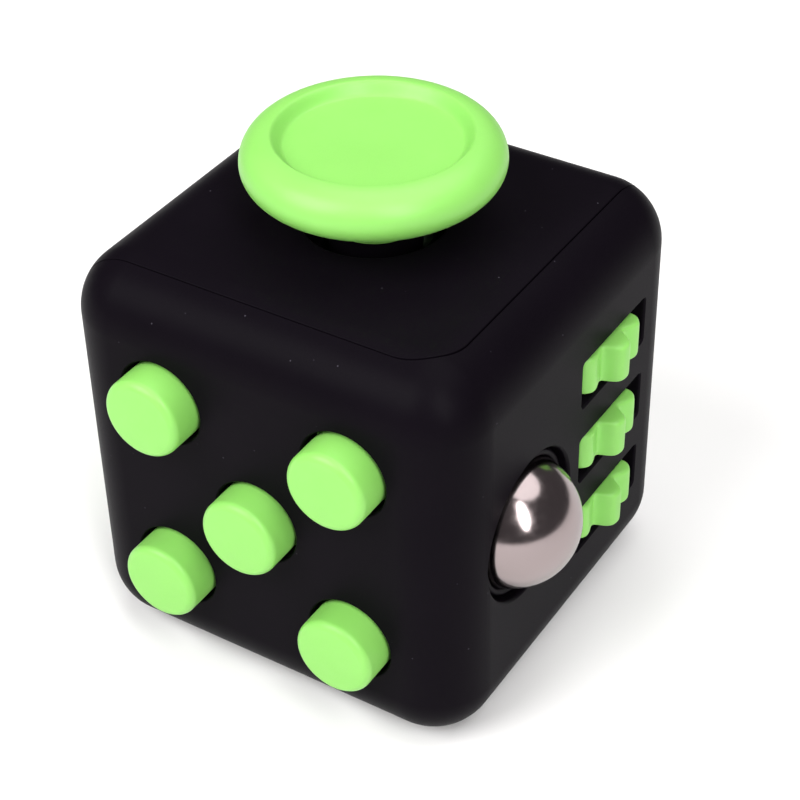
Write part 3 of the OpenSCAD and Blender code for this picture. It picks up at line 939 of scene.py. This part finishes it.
@dataclass
class Shells:
    """The two black shells, which meet at a seam that zigzags round the cube.

    Attributes:
        half: Half the cube's size.
        fixings: The screws' seats, whose bosses stand in the shells.
    """

    half: float
    fixings: Fixings
    edge: float = 4.8
    wall: float = 2.0
    seam_inset: float = 3.2
    seam_round: float = 3.6
    seam_gap: float = 0.1
    seam_lip: float = 0.12
    skin_reach: float = 0.02
    button_hole: float = 3.38
    ball_hole: float = 5.78
    slot_half_x: float = 4.8
    slot_half_y: float = 1.975
    slot_wall: float = 1.5
    opening: float = 5.34
    window_half_x: float = 4.05
    window_half_y: float = 6.849
    dial_hole: float = 7.8
    dial_recess: float = 0.6
    hub_hole: float = 2.65
    thumb_radius: float = 10.2
    thumb_depth: float = 1.4
    post_radius: float = 1.2
    post_clearance: float = 0.05
    socket_wall: float = 0.85
    posts: tuple[Spot, ...] = ((-11.6, 11.6), (-11.6, -7.6))
    stakes_x: float = 5.0
    stakes_y: float = 10.3
    stake_depth: float = 4.1
    edge_steps: int = 11

    @property
    def middle(self) -> Vector:
        """The cube's middle."""
        return Vector((0, 0, self.half))

    def skin(self, name: str) -> Piece:
        """Makes the hollow cube that both shells are cut from.

        Args:
            name: The cube's name.

        Returns:
            The hollow cube.
        """
        skin = rounded_block(name, self.half, self.edge, self.middle, self.edge_steps)
        hollow = rounded_block("hollow", self.half - self.wall, self.edge - self.wall, self.middle, 6)
        combine(skin, [hollow], Join.CUT)
        return skin

    def seam_zone(self, grow_by: float) -> Piece:
        """Makes everything on the upper shell's side of the seam.

        Args:
            grow_by: The clearance that it is grown by.

        Returns:
            The block.
        """
        reach = self.half + 4
        at = self.half - self.seam_inset + grow_by
        middle = Vector((at - reach, reach - at, self.half - at + reach))
        return rounded_block("seam_zone", reach, self.seam_round, middle, 8)

    def round_seam(self, shell: Piece) -> None:
        """Rounds the lips of the seam, where a cut face meets the outer skin.

        Args:
            shell: The shell.
        """
        weld(shell, self.skin_reach)
        reach = self.half - self.edge
        grid = bmesh.new()
        grid.from_mesh(shell.data)
        lips = []
        for line in grid.edges:
            if len(line.link_faces) != 2 or line.calc_face_angle() < math.radians(45):
                continue
            gaps = []
            for point in line.verts:
                out = [max(abs(c) - reach, 0.0) for c in point.co - self.middle]
                gaps.append(abs(Vector(out).length - self.edge))
            if max(gaps) < self.skin_reach:
                lips.append(line)
        bmesh.ops.bevel(grid, geom=lips, offset=self.seam_lip, segments=3, profile=0.5, affect="EDGES",
                        clamp_overlap=True)
        grid.to_mesh(shell.data)
        grid.free()

    def round_hole(self, face: Face, x: float, y: float, radius: float, rim: float) -> Piece:
        """Makes the tool for a round hole with a rounded rim.

        Args:
            face: The face that it goes through.
            x: The hole's local x.
            y: The hole's local y.
            radius: The hole's radius.
            rim: The rim's rounding.

        Returns:
            The tool.
        """
        profile = [(radius + widening, z) for widening, z in mouth(rim, self.wall + 1)]
        section = [(0, profile[0][1]), *profile, (0, profile[-1][1])]
        return lathe("hole", section, face.place(self.half, x, y), FINE_SIDES)

    def square_hole(self, face: Face, spot: Spot, halves: Spot, corner: float, rim: float) -> Piece:
        """Makes the tool for a rectangular hole with a rounded rim.

        Args:
            face: The face that it goes through.
            spot: Its place on the face.
            halves: Half its length and half its height.
            corner: The rounding of its corners.
            rim: The rim's rounding.

        Returns:
            The tool.
        """
        rings = [rounded_rectangle(halves[0] + widening, halves[1] + widening, corner + widening, z)
                 for widening, z in mouth(rim, self.wall + 1)]
        return loft("slot", rings, face.place(self.half, *spot))

    def post(self, spot: Spot, radius: float, low: float, high: float) -> Piece:
        """Makes an upright post between two heights."""
        profile = [(0, low), (radius, low), (radius, high), (0, high)]
        return lathe("post", profile, Matrix.Translation((*spot, 0)), 48)

    def build_lower(self) -> Piece:
        """Builds the shell with the front, right and base faces.

        Returns:
            The shell.
        """
        shell = self.skin("shell_front_right_base")
        combine(shell, [self.seam_zone(self.seam_gap / 2)], Join.CUT)
        self.round_seam(shell)
        screwed = (Face.FRONT, Face.RIGHT)
        bore = self.post_radius + self.post_clearance
        socket = bore + self.socket_wall
        added = [self.thumb_pad(), *self.fixings.bosses(screwed, self.wall)]
        added += [self.post(spot, socket, self.wall / 2, self.wall + 4) for spot in self.posts]
        combine(shell, added, Join.ADD)
        bores = [self.post(spot, bore, self.wall + 0.45, self.wall + 5) for spot in self.posts]
        combine(shell, [*bores, *self.fixings.pilots(screwed), *self.front_holes(),
                        *self.right_holes(), self.thumb_dish()], Join.CUT)
        return shell

    def front_holes(self) -> list[Piece]:
        """Makes the tools for the five button holes."""
        spots = [Extent.of(node).middle for node in BUTTONS]
        return [self.round_hole(Face.FRONT, spot.x, spot.z - self.half, self.button_hole, 0.22)
                for spot in spots]

    def right_holes(self) -> list[Piece]:
        """Makes the tools for the right face.

        Returns:
            The ball's hole, the rollers' slots, and the relief that thins the wall behind the slots.
        """
        ball = Extent.of("steel_ball").middle
        tools = [self.round_hole(Face.RIGHT, ball.y, ball.z - self.half, self.ball_hole, 0.3)]
        axle = Extent.of("roller_axle").middle
        levels = [Extent.of(node).middle.z - self.half for node in ROLLERS]
        halves = (self.slot_half_x, self.slot_half_y)
        tools += [self.square_hole(Face.RIGHT, (axle.y, level), halves, 0.3, 0.22) for level in levels]
        reach = levels[0] - levels[1] + self.slot_half_y
        inner = [rounded_rectangle(self.slot_half_x + 0.35, reach, 0.3, z)
                 for z in (-self.wall - 0.5, -self.slot_wall)]
        tools.append(loft("relief", inner, Face.RIGHT.place(self.half, axle.y, levels[1])))
        return tools

    def thumb_pad(self) -> Piece:
        """Makes the thicker floor over the thumb dish.

        Returns:
            The pad, rooted in the middle of the wall.
        """
        radius, top = self.thumb_radius + 1, self.wall + self.thumb_depth
        root = self.wall / 2
        profile = [(0, root), (radius, root), (radius, top - 0.4), (radius - 0.4, top), (0, top)]
        return lathe("thumb_pad", profile)

    def thumb_dish(self) -> Piece:
        """Makes the tool for the dish in the base, whose rim runs out level with the face.

        Returns:
            The tool.
        """
        steps = 24
        shares = [math.sin(math.radians(90 * step / steps)) for step in range(steps + 1)]
        profile = [(share * self.thumb_radius, 0.004 - self.thumb_depth * (1 - share * share) ** 1.5)
                   for share in shares]
        profile += [(self.thumb_radius, 1), (0, 1)]
        return lathe("dish", profile, Face.BASE.place(self.half), FINE_SIDES)

    def build_upper(self) -> Piece:
        """Builds the shell with the top, left and back faces.

        Returns:
            The shell.
        """
        shell = self.skin("shell_top_left_back")
        combine(shell, [self.seam_zone(-self.seam_gap / 2)], Join.KEEP)
        self.round_seam(shell)
        added = self.fixings.bosses((Face.BACK,), self.wall)
        for spot in self.posts:
            added.append(self.post(spot, self.post_radius, self.wall + 0.5, self.wall + 8.5))
            rib = [rounded_rectangle(2.0, 0.6, 0.1, z, 2) for z in (self.wall + 4.4, self.wall + 8.4)]
            added.append(loft("rib", rib, Matrix.Translation((spot[0] - 1.95, spot[1], 0))))
        added += self.stakes()
        combine(shell, added, Join.ADD)
        dial = [(0, -self.dial_recess), (self.dial_hole, -self.dial_recess)]
        dial += [(self.dial_hole + widening, z) for widening, z in mouth(0.2, 0.3)[1:]]
        hub = [(0, -self.wall - 1), (self.hub_hole, -self.wall - 1), (self.hub_hole, 0), (0, 0)]
        left = Face.LEFT.place(self.half)
        combine(shell, [
            *self.fixings.pilots((Face.BACK,)),
            self.round_hole(Face.TOP, 0, 0, self.opening, 0.25),
            self.square_hole(Face.BACK, (0, 0), (self.window_half_x, self.window_half_y), 0.45, 0.25),
            lathe("recess", [*dial, (0, 1)], left, FINE_SIDES),
            lathe("hub_hole", hub, left),
        ], Join.CUT)
        return shell

    def stakes(self) -> list[Piece]:
        """Makes the four closed-over stakes that hold the glide frame.

        Returns:
            The stakes.
        """
        end, shank, head = -self.stake_depth, 0.7, 1.15
        profile = [(0, end - 0.5), *arc((head - 0.3, end - 0.2), 0.3, -90, 0, 4),
                   (head, end), (shank, end), (shank, -self.wall / 2), (0, -self.wall / 2)]
        spots = [(x, y) for x in (-self.stakes_x, self.stakes_x) for y in (-self.stakes_y, self.stakes_y)]
        return [lathe("stake", profile, Face.TOP.place(self.half, x, y), 24) for x, y in spots]

    def build(self, finishes: Finishes) -> None:
        """Builds both shells and hands them over.

        Args:
            finishes: The object's finishes.
        """
        for shell, node in ((self.build_lower(), "lower_shell"), (self.build_upper(), "upper_shell")):
            finish_mesh(shell)
            hand_over(shell, node, "root", finishes.shell_black)


# ---- click side ----

BUTTONS = (
    "button_top_left", "button_top_right", "button_centre", "button_bottom_left", "button_bottom_right",
)


@dataclass
class Button:
    """One push button: a crowned cap with a flange and a stem behind the face.

    Attributes:
        node: The CAD node that it stands for, which is also its body.
        half: Half the cube's size.
    """

    node: str
    half: float
    radius: float = 3.1
    rounding: float = 0.62
    crown: float = 0.09
    flange_radius: float = 4.2
    flange_depth: float = 3.0
    flange_height: float = 0.9
    stem_radius: float = 1.5

    def profile(self) -> Profile:
        """Gives the button's section.

        Returns:
            The profile, from the stem's end to the middle of the cap.
        """
        box = Extent.of(self.node)
        proud = -self.half - box.low.y
        end = -self.half - box.high.y
        shoulder = proud - self.crown
        edge = self.flange_depth - self.flange_height
        return [
            (0, end), (self.stem_radius - 0.2, end), (self.stem_radius, end + 0.2),
            (self.stem_radius, -self.flange_depth), (self.flange_radius - 0.1, -self.flange_depth),
            (self.flange_radius, 0.1 - self.flange_depth), (self.flange_radius, -edge - 0.1),
            (self.flange_radius - 0.1, -edge), (self.radius, -edge),
            *arc((self.radius - self.rounding, shoulder - self.rounding), self.rounding, 0, 84, 12),
            *self.cap(proud, shoulder),
        ]

    def cap(self, proud: float, shoulder: float) -> Profile:
        """Gives the crowned top of the cap.

        Args:
            proud: The height of its middle over the face.
            shoulder: The height where its rounding starts.

        Returns:
            The profile, from the rounding to the middle.
        """
        reach = self.radius - self.rounding
        steps = 10
        shares = [1 - step / steps for step in range(1, steps + 1)]
        return [(share * reach, proud - (proud - shoulder) * share * share) for share in shares]

    def build(self, finishes: Finishes) -> None:
        """Builds the button and hands it over.

        Args:
            finishes: The object's finishes.
        """
        spot = Extent.of(self.node).middle
        place = Face.FRONT.place(self.half, spot.x, spot.z - self.half)
        cap = lathe(f"{self.node}_cap", self.profile(), place)
        finish_mesh(cap, SOFT_EDGE)
        hand_over(cap, self.node, self.node, finishes.control_green)


# ---- roll side ----

ROLLERS = ("roller_top", "roller_middle", "roller_bottom")


@dataclass
class BallAndCradle:
    """The polished ball and the sprung cradle that holds it past its equator.

    Attributes:
        half: Half the cube's size.
    """

    half: float
    bore: float = 5.04
    rim_wall: float = 0.51
    lip_depth: float = 0.5
    flange_radius: float = 6.58
    flange_low: float = 2.9
    flange_high: float = 2.1
    floor_depth: float = 7.43
    stem_depth: float = 8.18
    stem_radius: float = 1.8

    def build_ball(self) -> Piece:
        """Builds the ball, turned about the axis that it rolls on.

        Returns:
            The ball.
        """
        box = Extent.of("steel_ball")
        radius = box.size.x / 2
        profile = [(max(x, 0.0), y) for x, y in arc((0, 0), radius, -90, 90, 80)]
        return lathe("polished_ball", profile, Matrix.Translation(box.middle), FINE_SIDES)

    def build_cradle(self) -> Piece:
        """Builds the cradle, with the flat that clears the front wall.

        Returns:
            The cradle.
        """
        ball = Extent.of("steel_ball")
        box = Extent.of("ball_cradle")
        outer = self.bore + self.rim_wall
        ball_depth = self.half - ball.middle.x
        mouth_radius = math.sqrt(self.bore ** 2 - (ball_depth - self.lip_depth - self.rim_wall / 2) ** 2)
        lip = (outer + mouth_radius) / 2
        half_lip = (outer - mouth_radius) / 2
        rim = arc((lip, -self.lip_depth - half_lip), half_lip, 0, 180, 10)
        below = math.degrees(math.asin((ball_depth - self.lip_depth - half_lip) / self.bore))
        cup = [(max(x, 0.0), z) for x, z in arc((0, -ball_depth), self.bore, below, -90, 40)]
        profile = [
            (0, -self.stem_depth), (self.stem_radius - 0.2, -self.stem_depth),
            (self.stem_radius, 0.2 - self.stem_depth), (self.stem_radius, -self.floor_depth),
            (outer * 0.58, -self.floor_depth), (outer, outer / 2 - self.floor_depth),
            (outer, -self.flange_low), (self.flange_radius, -self.flange_low),
            (self.flange_radius, -self.flange_high),
            (outer, -self.flange_high), *rim, *cup,
        ]
        place = Face.RIGHT.place(self.half, ball.middle.y, ball.middle.z - self.half)
        cradle = lathe("ball_cup", profile, place, FINE_SIDES)
        tool = [rounded_rectangle(5, 10, 0.5, z) for z in (-12, -0.05)]
        clear = Face.RIGHT.place(self.half, box.low.y - 5, ball.middle.z - self.half)
        combine(cradle, [loft("flat", tool, clear)], Join.CUT)
        return cradle

    def build(self, finishes: Finishes) -> None:
        """Builds the ball and its cradle and hands them over.

        Args:
            finishes: The object's finishes.
        """
        ball = self.build_ball()
        finish_mesh(ball, 80)
        hand_over(ball, "steel_ball", "steel_ball", finishes.ball_steel)
        cradle = self.build_cradle()
        finish_mesh(cradle)
        hand_over(cradle, "ball_cradle", "ball_cradle", finishes.shell_black)


@dataclass
class Rollers:
    """The three lobed rollers, each grown by the same geometry tree."""

    tip_radius: float = 4.99
    lobes: int = 9
    lead: float = -7.0
    steps_per_lobe: int = 24
    section_steps: int = 48
    hollow: float = 1.05
    bore: float = 0.8
    fullness: float = 1.5
    squareness: float = 0.2
    merge: float = 0.002

    def sums(self) -> list[tuple]:
        """Gives the sums that roll a flat grid up into a lobed ring.

        Returns:
            The steps, from the grid's across and along to the ring's x, y and z.
        """
        outline = [
            ("columns", "MULTIPLY_ADD", "lobes", "per_lobe", 1.0),
            ("loops", "ADD", "rows", 1.0),
            ("turn", "MULTIPLY", "across", math.tau),
            ("half_step", "DIVIDE", math.pi, "rows"),
            ("round", "MULTIPLY_ADD", "along", math.tau, "half_step"),
            ("from_lead", "SUBTRACT", "turn", "lead"),
            ("wave_angle", "MULTIPLY", "from_lead", "lobes"),
            ("wave", "COSINE", "wave_angle"),
            ("sag", "MULTIPLY_ADD", "wave", -0.5, 0.5),
            ("full_sag", "POWER", "sag", "fullness"),
            ("drop", "MULTIPLY", "full_sag", "hollow"),
            ("outline", "SUBTRACT", "tip", "drop"),
        ]
        section = []
        for wave, result in (("cosine", "out"), ("sine", "up")):
            section += [
                (wave, wave.upper(), "round"),
                (f"{wave}_size", "ABSOLUTE", wave),
                (f"{wave}_sign", "SIGN", wave),
                (f"{wave}_power", "POWER", f"{wave}_size", "square"),
                (result, "MULTIPLY", f"{wave}_power", f"{wave}_sign"),
            ]
        ring = [
            ("both", "ADD", "outline", "bore"),
            ("mid", "MULTIPLY", "both", 0.5),
            ("thick", "SUBTRACT", "outline", "bore"),
            ("span", "MULTIPLY", "thick", 0.5),
            ("radius", "MULTIPLY_ADD", "span", "out", "mid"),
            ("turn_cosine", "COSINE", "turn"),
            ("turn_sine", "SINE", "turn"),
            ("x", "MULTIPLY", "radius", "turn_cosine"),
            ("y", "MULTIPLY", "radius", "turn_sine"),
            ("half_width", "MULTIPLY", "width", 0.5),
            ("z", "MULTIPLY", "half_width", "up"),
        ]
        return outline + section + ring

    def tree(self) -> Tree:
        """Builds the tree: a grid is rolled up into a ring whose outline waves and whose section is square.

        Returns:
            The tree.
        """
        sizes = {
            "tip": "Tip Radius", "hollow": "Hollow Depth", "bore": "Bore Radius", "width": "Width",
            "fullness": "Lobe Fullness", "square": "Squareness", "lead": "Lead Angle",
        }
        counts = {"lobes": "Lobes", "per_lobe": "Steps per Lobe", "rows": "Section Steps"}
        tree, given = start_tree("lobed_roller", {
            "Start": "Geometry", **dict.fromkeys(sizes.values(), "Float"),
            **dict.fromkeys(counts.values(), "Int"), "Middle": "Vector", "Finish": "Material"}, "Roller")
        where = add_node(tree, "ShaderNodeSeparateXYZ", {
            "Vector": add_node(tree, "GeometryNodeInputPosition").outputs["Position"]})
        known = {"across": where.outputs["X"], "along": where.outputs["Y"]}
        known |= {name: given[label] for name, label in (sizes | counts).items()}
        values = calculate(tree, known, self.sums())
        sheet = add_node(tree, "GeometryNodeMeshGrid", {
            "Size X": 1.0, "Size Y": 1.0, "Vertices X": values["columns"], "Vertices Y": values["loops"]})
        point = add_node(tree, "ShaderNodeCombineXYZ", {"X": values["x"], "Y": values["y"], "Z": values["z"]})
        rolled = add_node(tree, "GeometryNodeSetPosition", {
            "Geometry": sheet.outputs["Mesh"], "Position": point.outputs["Vector"]})
        closed = add_node(tree, "GeometryNodeMergeByDistance", {
            "Geometry": rolled.outputs["Geometry"], "Distance": self.merge * MM})
        moved = add_node(tree, "GeometryNodeSetPosition", {
            "Geometry": closed.outputs["Geometry"], "Offset": given["Middle"]})
        end_tree(tree, moved.outputs["Geometry"], given["Finish"], "Roller")
        return tree

    def build(self, finishes: Finishes) -> None:
        """Grows the three rollers and hands them over.

        Args:
            finishes: The object's finishes.
        """
        tree = self.tree()
        axle = Extent.of("roller_axle").middle
        for node in ROLLERS:
            box = Extent.of(node)
            roller = make_object(f"{node}_wheel", [], [])
            grow(roller, tree, {
                "Tip Radius": self.tip_radius * MM, "Hollow Depth": self.hollow * MM,
                "Bore Radius": self.bore * MM, "Width": box.size.z * MM,
                "Lobe Fullness": self.fullness, "Squareness": self.squareness,
                "Lead Angle": math.radians(self.lead), "Lobes": self.lobes,
                "Steps per Lobe": self.steps_per_lobe, "Section Steps": self.section_steps,
                "Middle": (axle.x * MM, axle.y * MM, box.middle.z * MM), "Finish": finishes.control_green,
            })
            roller.data.shade_smooth()
            hand_over(roller, node, node, finishes.control_green)


# ---- glide side ----


@dataclass
class GlideDisc:
    """The dished disc over the top face, with the socket for its post.

    Attributes:
        half: Half the cube's size.
    """

    half: float
    rim_half_height: float = 2.05
    rim_half_width: float = 2.9
    crest_inset: float = 2.2
    dish_depth: float = 0.9
    dish_slope: float = 0.95
    dish_hollow: float = 0.12
    neck: float = 3.4
    neck_blend: float = 1.0
    neck_end: float = 0.3
    socket: float = 2.21
    socket_end: float = 2.2

    def profile(self) -> Profile:
        """Gives the disc's section.

        Returns:
            The profile, from the socket round the rim to the middle of the dish.
        """
        box = Extent.of("glide_disc")
        edge = box.size.x / 2
        crest = edge - self.crest_inset
        top = box.high.z - 2 * self.half
        middle = top - self.rim_half_height
        under = middle - self.rim_half_height
        floor = top - self.dish_depth
        rim = []
        for angle in range(-90, 91, 5):
            turn = math.radians(angle)
            width = self.rim_half_width if angle < 0 else self.crest_inset
            rim.append((edge - width * (1 - math.cos(turn)), middle + self.rim_half_height * math.sin(turn)))
        slope = [(crest - self.dish_slope * share, top - self.dish_depth * smooth_step(share))
                 for share in (step / 12 for step in range(1, 13))]
        inner = slope[-1][0]
        dish = [(inner * share, floor - self.dish_hollow * (1 - share ** 2) ** 2)
                for share in (1 - step / 10 for step in range(1, 11))]
        blend = arc((self.neck + self.neck_blend, under - self.neck_blend), self.neck_blend, 180, 90, 10)
        return [
            (0, self.socket_end), (self.socket, self.socket_end), (self.socket, -self.neck_end),
            (self.neck - 0.1, -self.neck_end), (self.neck, 0.1 - self.neck_end), *blend, *rim, *slope, *dish,
        ]

    def build(self, finishes: Finishes) -> None:
        """Builds the disc and hands it over.

        Args:
            finishes: The object's finishes.
        """
        disc = lathe("dished_disc", self.profile(), Face.TOP.place(self.half), FINE_SIDES)
        finish_mesh(disc, SOFT_EDGE)
        hand_over(disc, "glide_disc", "glide_disc", finishes.control_green)


# ---- flip side ----


@dataclass
class Rocker:
    """The rocker in the back face, hollowed for a fingertip and tilted with its upper end out.

    Attributes:
        half: Half the cube's size.
    """

    half: float
    width: float = 7.6
    reach: float = 6.0
    high: float = 4.933
    saddle: float = 1.2
    skirt: float = 1.2
    nose_radius: float = 0.6
    nose_length: float = 2.6
    pivot_hole: float = 0.65
    tilt: float = 10.0
    rounding: float = 0.32

    def side(self) -> Profile:
        """Gives the rocker's side view.

        Returns:
            The outline, counterclockwise.
        """
        curve = (self.reach ** 2 + self.saddle ** 2) / (2 * self.saddle)
        swing = math.degrees(math.asin(self.reach / curve))
        hollow = arc((0, self.high - self.saddle + curve), curve, -90 + swing, -90 - swing, 28)
        nose = arc((0, -self.nose_length), self.nose_radius, 180, 360, 12)
        return [(-self.reach, -self.skirt), (-self.nose_radius, -self.skirt), *nose,
                (self.nose_radius, -self.skirt), (self.reach, -self.skirt), *hollow]

    def build(self, finishes: Finishes) -> None:
        """Builds the rocker and hands it over.

        Args:
            finishes: The object's finishes.
        """
        pin = Extent.of("rocker_pin").middle
        lay = Matrix(((0, 0, 1), (1, 0, 0), (0, 1, 0))).to_4x4()
        place = (Face.BACK.place(self.half) @ Matrix.Translation((0, 0, pin.y - self.half))
                 @ Matrix.Rotation(math.radians(self.tilt), 4, "X") @ lay)
        rings = [[(x, y, z) for x, y in self.side()] for z in (-self.width / 2, self.width / 2)]
        rocker = loft("flip_rocker", rings, place)
        hole, reach = self.pivot_hole, self.width
        pivot = [(0, -reach), (hole, -reach), (hole, reach), (0, reach)]
        combine(rocker, [lathe("pivot", pivot, place, 48)], Join.CUT)
        soften(rocker, self.rounding, 5)
        finish_mesh(rocker, SOFT_EDGE)
        hand_over(rocker, "rocker", "rocker", finishes.control_green)


# ---- spin side ----


@dataclass
class Dial:
    """The spinning dial in the left face, with a dimple for a fingertip.

    Attributes:
        half: Half the cube's size.
    """

    half: float
    rounding: float = 0.8
    underside: float = 0.45
    hub: float = 2.6
    dimple_radius: float = 2.6
    dimple_depth: float = 0.9
    dimple_out: float = 3.9
    screw_hole: float = 0.75
    screw_hole_depth: float = 2.8

    def ring(self, radius: float, top: float) -> Outline:
        """Gives a ring on the dial's top, sunk where it crosses the dimple.

        Args:
            radius: The ring's radius.
            top: The top's height over the face.

        Returns:
            The ring's points.
        """
        points = []
        for x, y, _ in circle(radius, 0, FINE_SIDES):
            away = math.hypot(x, y - self.dimple_out) / self.dimple_radius
            sunk = self.dimple_depth * max(1 - away * away, 0.0) ** 1.5
            points.append((x, y, top - sunk))
        return points

    def build(self, finishes: Finishes) -> None:
        """Builds the dial and hands it over.

        Args:
            finishes: The object's finishes.
        """
        box = Extent.of("dial")
        radius = box.size.z / 2
        proud = -self.half - box.low.x
        hub_end = -self.half - box.high.x
        hole_end = hub_end + self.screw_hole_depth
        section = [
            (0, hole_end + 0.3), (self.screw_hole, hole_end), (self.screw_hole, hub_end),
            (self.hub - 0.2, hub_end), (self.hub, hub_end + 0.2),
            (self.hub, -self.underside), (radius - 0.2, -self.underside),
            (radius, 0.2 - self.underside),
            *arc((radius - self.rounding, proud - self.rounding), self.rounding, 0, 90, 12),
        ]
        rings = [circle(r, z, FINE_SIDES) for r, z in section]
        steps = 34
        flat = radius - self.rounding
        rings += [self.ring(flat * (1 - step / steps), proud) for step in range(1, steps + 1)]
        dial = loft("spin_dial", rings, Face.LEFT.place(self.half))
        finish_mesh(dial, SOFT_EDGE)
        hand_over(dial, "dial", "dial", finishes.control_green)


# ---- pieces that keep their CAD shape ----


@dataclass
class InnerPieces:
    """The CAD nodes that keep their shape, by the finish that they get."""

    nodes: dict[str, tuple[str, ...]] = field(default_factory=lambda: {
        "spring_steel": ("dome_top_left", "dome_centre", "dome_bottom_right", "ball_dome",
                         "rocker_leaf_spring"),
        "silicone": ("silent_pad_top_right", "silent_pad_bottom_left", "centring_ring"),
        "inner_plastic": ("click_board", "ball_bracket", "roller_cage", "glide_retainer", "glide_frame",
                          "rocker_housing", "dial_retainer"),
        "pin_steel": ("roller_axle", "glide_screw", "rocker_pin", "dial_screw"),
        # glide_post gets the black finish as painted shade: the post is made black to stand in for the deep
        # shadow under the disc
        "shell_black": ("glide_post", "glide_carrier"),
        "felt": ("dial_washer",),
    })

    def dress(self, finishes: Finishes) -> None:
        """Gives each of these nodes its finish.

        Args:
            finishes: The object's finishes.
        """
        for name, members in self.nodes.items():
            for member in members:
                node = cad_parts[member]
                node.data.materials.clear()
                node.data.materials.append(getattr(finishes, name))
                LOG.info("%s: keeps its shape, finish %s", member, name)


# ---- studio ----


@dataclass(frozen=True)
class Softbox:
    """An oval soft light that points at the cube.

    Attributes:
        name: The light's name.
        toward: Direction from the cube to the light.
        distance: Distance from the cube in metres.
        size: Its width and height in metres.
        power: Its power in watts.
        colour: Its colour, as sRGB hex.
    """

    name: str
    toward: tuple[float, float, float]
    distance: float
    size: tuple[float, float]
    power: float
    colour: str = "#ffffff"

    def build(self, aim: Vector) -> None:
        """Hangs the light.

        Args:
            aim: The point that it shines at, in metres.
        """
        lamp = bpy.data.lights.new(self.name, "AREA")
        lamp.shape = "ELLIPSE"
        lamp.size, lamp.size_y = self.size
        lamp.energy = self.power
        lamp.color = linear(self.colour)[:3]
        thing = bpy.data.objects.new(self.name, lamp)
        bpy.context.scene.collection.objects.link(thing)
        away = Vector(self.toward).normalized()
        turned = away.to_track_quat("Z", "Y").to_matrix().to_4x4()
        thing.matrix_world = Matrix.Translation(aim + away * self.distance) @ turned


@dataclass
class Studio:
    """The floor, the soft light and the camera round the cube."""

    floor_size: float = 3.0
    floor_colour: str = "#f2f1f0"
    floor_roughness: float = 0.9
    floor_specular: float = 0.1
    surroundings: str = "#8f8c8f"
    surroundings_strength: float = 0.42
    azimuth: float = 32.640
    elevation: float = 37.867
    roll: float = -1.242
    distance: float = 0.156929
    lens: float = 93.26
    sensor: float = 36.0
    aim: tuple[float, float, float] = (0.001276, 0.000730, 0.016406)
    lights: tuple[Softbox, ...] = (
        Softbox("key_softbox", (-0.35, -0.72, 0.75), 0.45, (0.34, 0.34), 2.0),
        Softbox("top_softbox", (0.1, 0.25, 1.0), 0.5, (0.6, 0.5), 1.9),
        Softbox("strip_softbox", (0.62, -0.45, 0.66), 0.5, (0.15, 0.44), 1.8),
    )

    def build(self) -> None:
        """Builds the floor, the surroundings, the lights and the camera."""
        self.build_floor()
        self.build_surroundings()
        middle = (CAD_BOUNDS[0] + CAD_BOUNDS[1]) / 2
        for light in self.lights:
            light.build(Vector(middle))
        self.build_camera()

    def build_floor(self) -> None:
        """Lays a plain pale floor under the cube."""
        half = self.floor_size / 2
        low = CAD_BOUNDS[0][2]
        corners = [(-half, -half, low), (half, -half, low), (half, half, low), (-half, half, low)]
        floor = make_object("floor", corners, [[0, 1, 2, 3]])
        material = bpy.data.materials.new("matt_white_board")
        material.use_nodes = True
        shader = material.node_tree.nodes["Principled BSDF"]
        shader.inputs["Base Color"].default_value = linear(self.floor_colour)
        shader.inputs["Roughness"].default_value = self.floor_roughness
        shader.inputs["Specular IOR Level"].default_value = self.floor_specular
        floor.data.materials.append(material)

    def build_surroundings(self) -> None:
        """Fills the room with soft grey light."""
        world = bpy.data.worlds.new("studio_room")
        bpy.context.scene.world = world
        world.use_nodes = True
        back = world.node_tree.nodes["Background"]
        back.inputs["Color"].default_value = linear(self.surroundings)
        back.inputs["Strength"].default_value = self.surroundings_strength
        bpy.context.scene.view_settings.view_transform = "Standard"

    def build_camera(self) -> None:
        """Sets up the camera."""
        camera = bpy.data.cameras.new("camera")
        camera.lens = self.lens
        camera.sensor_width = self.sensor
        camera.clip_start = 0.01
        thing = bpy.data.objects.new("camera", camera)
        bpy.context.scene.collection.objects.link(thing)
        turn, lift = math.radians(self.azimuth), math.radians(self.elevation)
        back = Vector((math.sin(turn) * math.cos(lift), -math.cos(turn) * math.cos(lift), math.sin(lift)))
        level = (Vector((0, 0, 1)).cross(back)).normalized()
        upright = back.cross(level)
        lean = math.radians(self.roll)
        right = level * math.cos(lean) + upright * math.sin(lean)
        up = upright * math.cos(lean) - level * math.sin(lean)
        turned = Matrix((right, up, back)).transposed().to_4x4()
        thing.matrix_world = Matrix.Translation(Vector(self.aim) + back * self.distance) @ turned
        bpy.context.scene.camera = thing


def main() -> None:
    """Builds the cube's pieces, its finishes and the studio."""
    logging.basicConfig(level=logging.INFO, format="%(message)s")
    half = Extent.of("upper_shell").high.z / 2
    finishes = Finishes()
    fixings = Fixings(half)
    Shells(half, fixings).build(finishes)
    fixings.build(finishes)
    for node in BUTTONS:
        Button(node, half).build(finishes)
    BallAndCradle(half).build(finishes)
    Rollers().build(finishes)
    GlideDisc(half).build(finishes)
    Rocker(half).build(finishes)
    Dial(half).build(finishes)
    InnerPieces().dress(finishes)
    Studio().build()


if __name__ == "__main__":
    main()
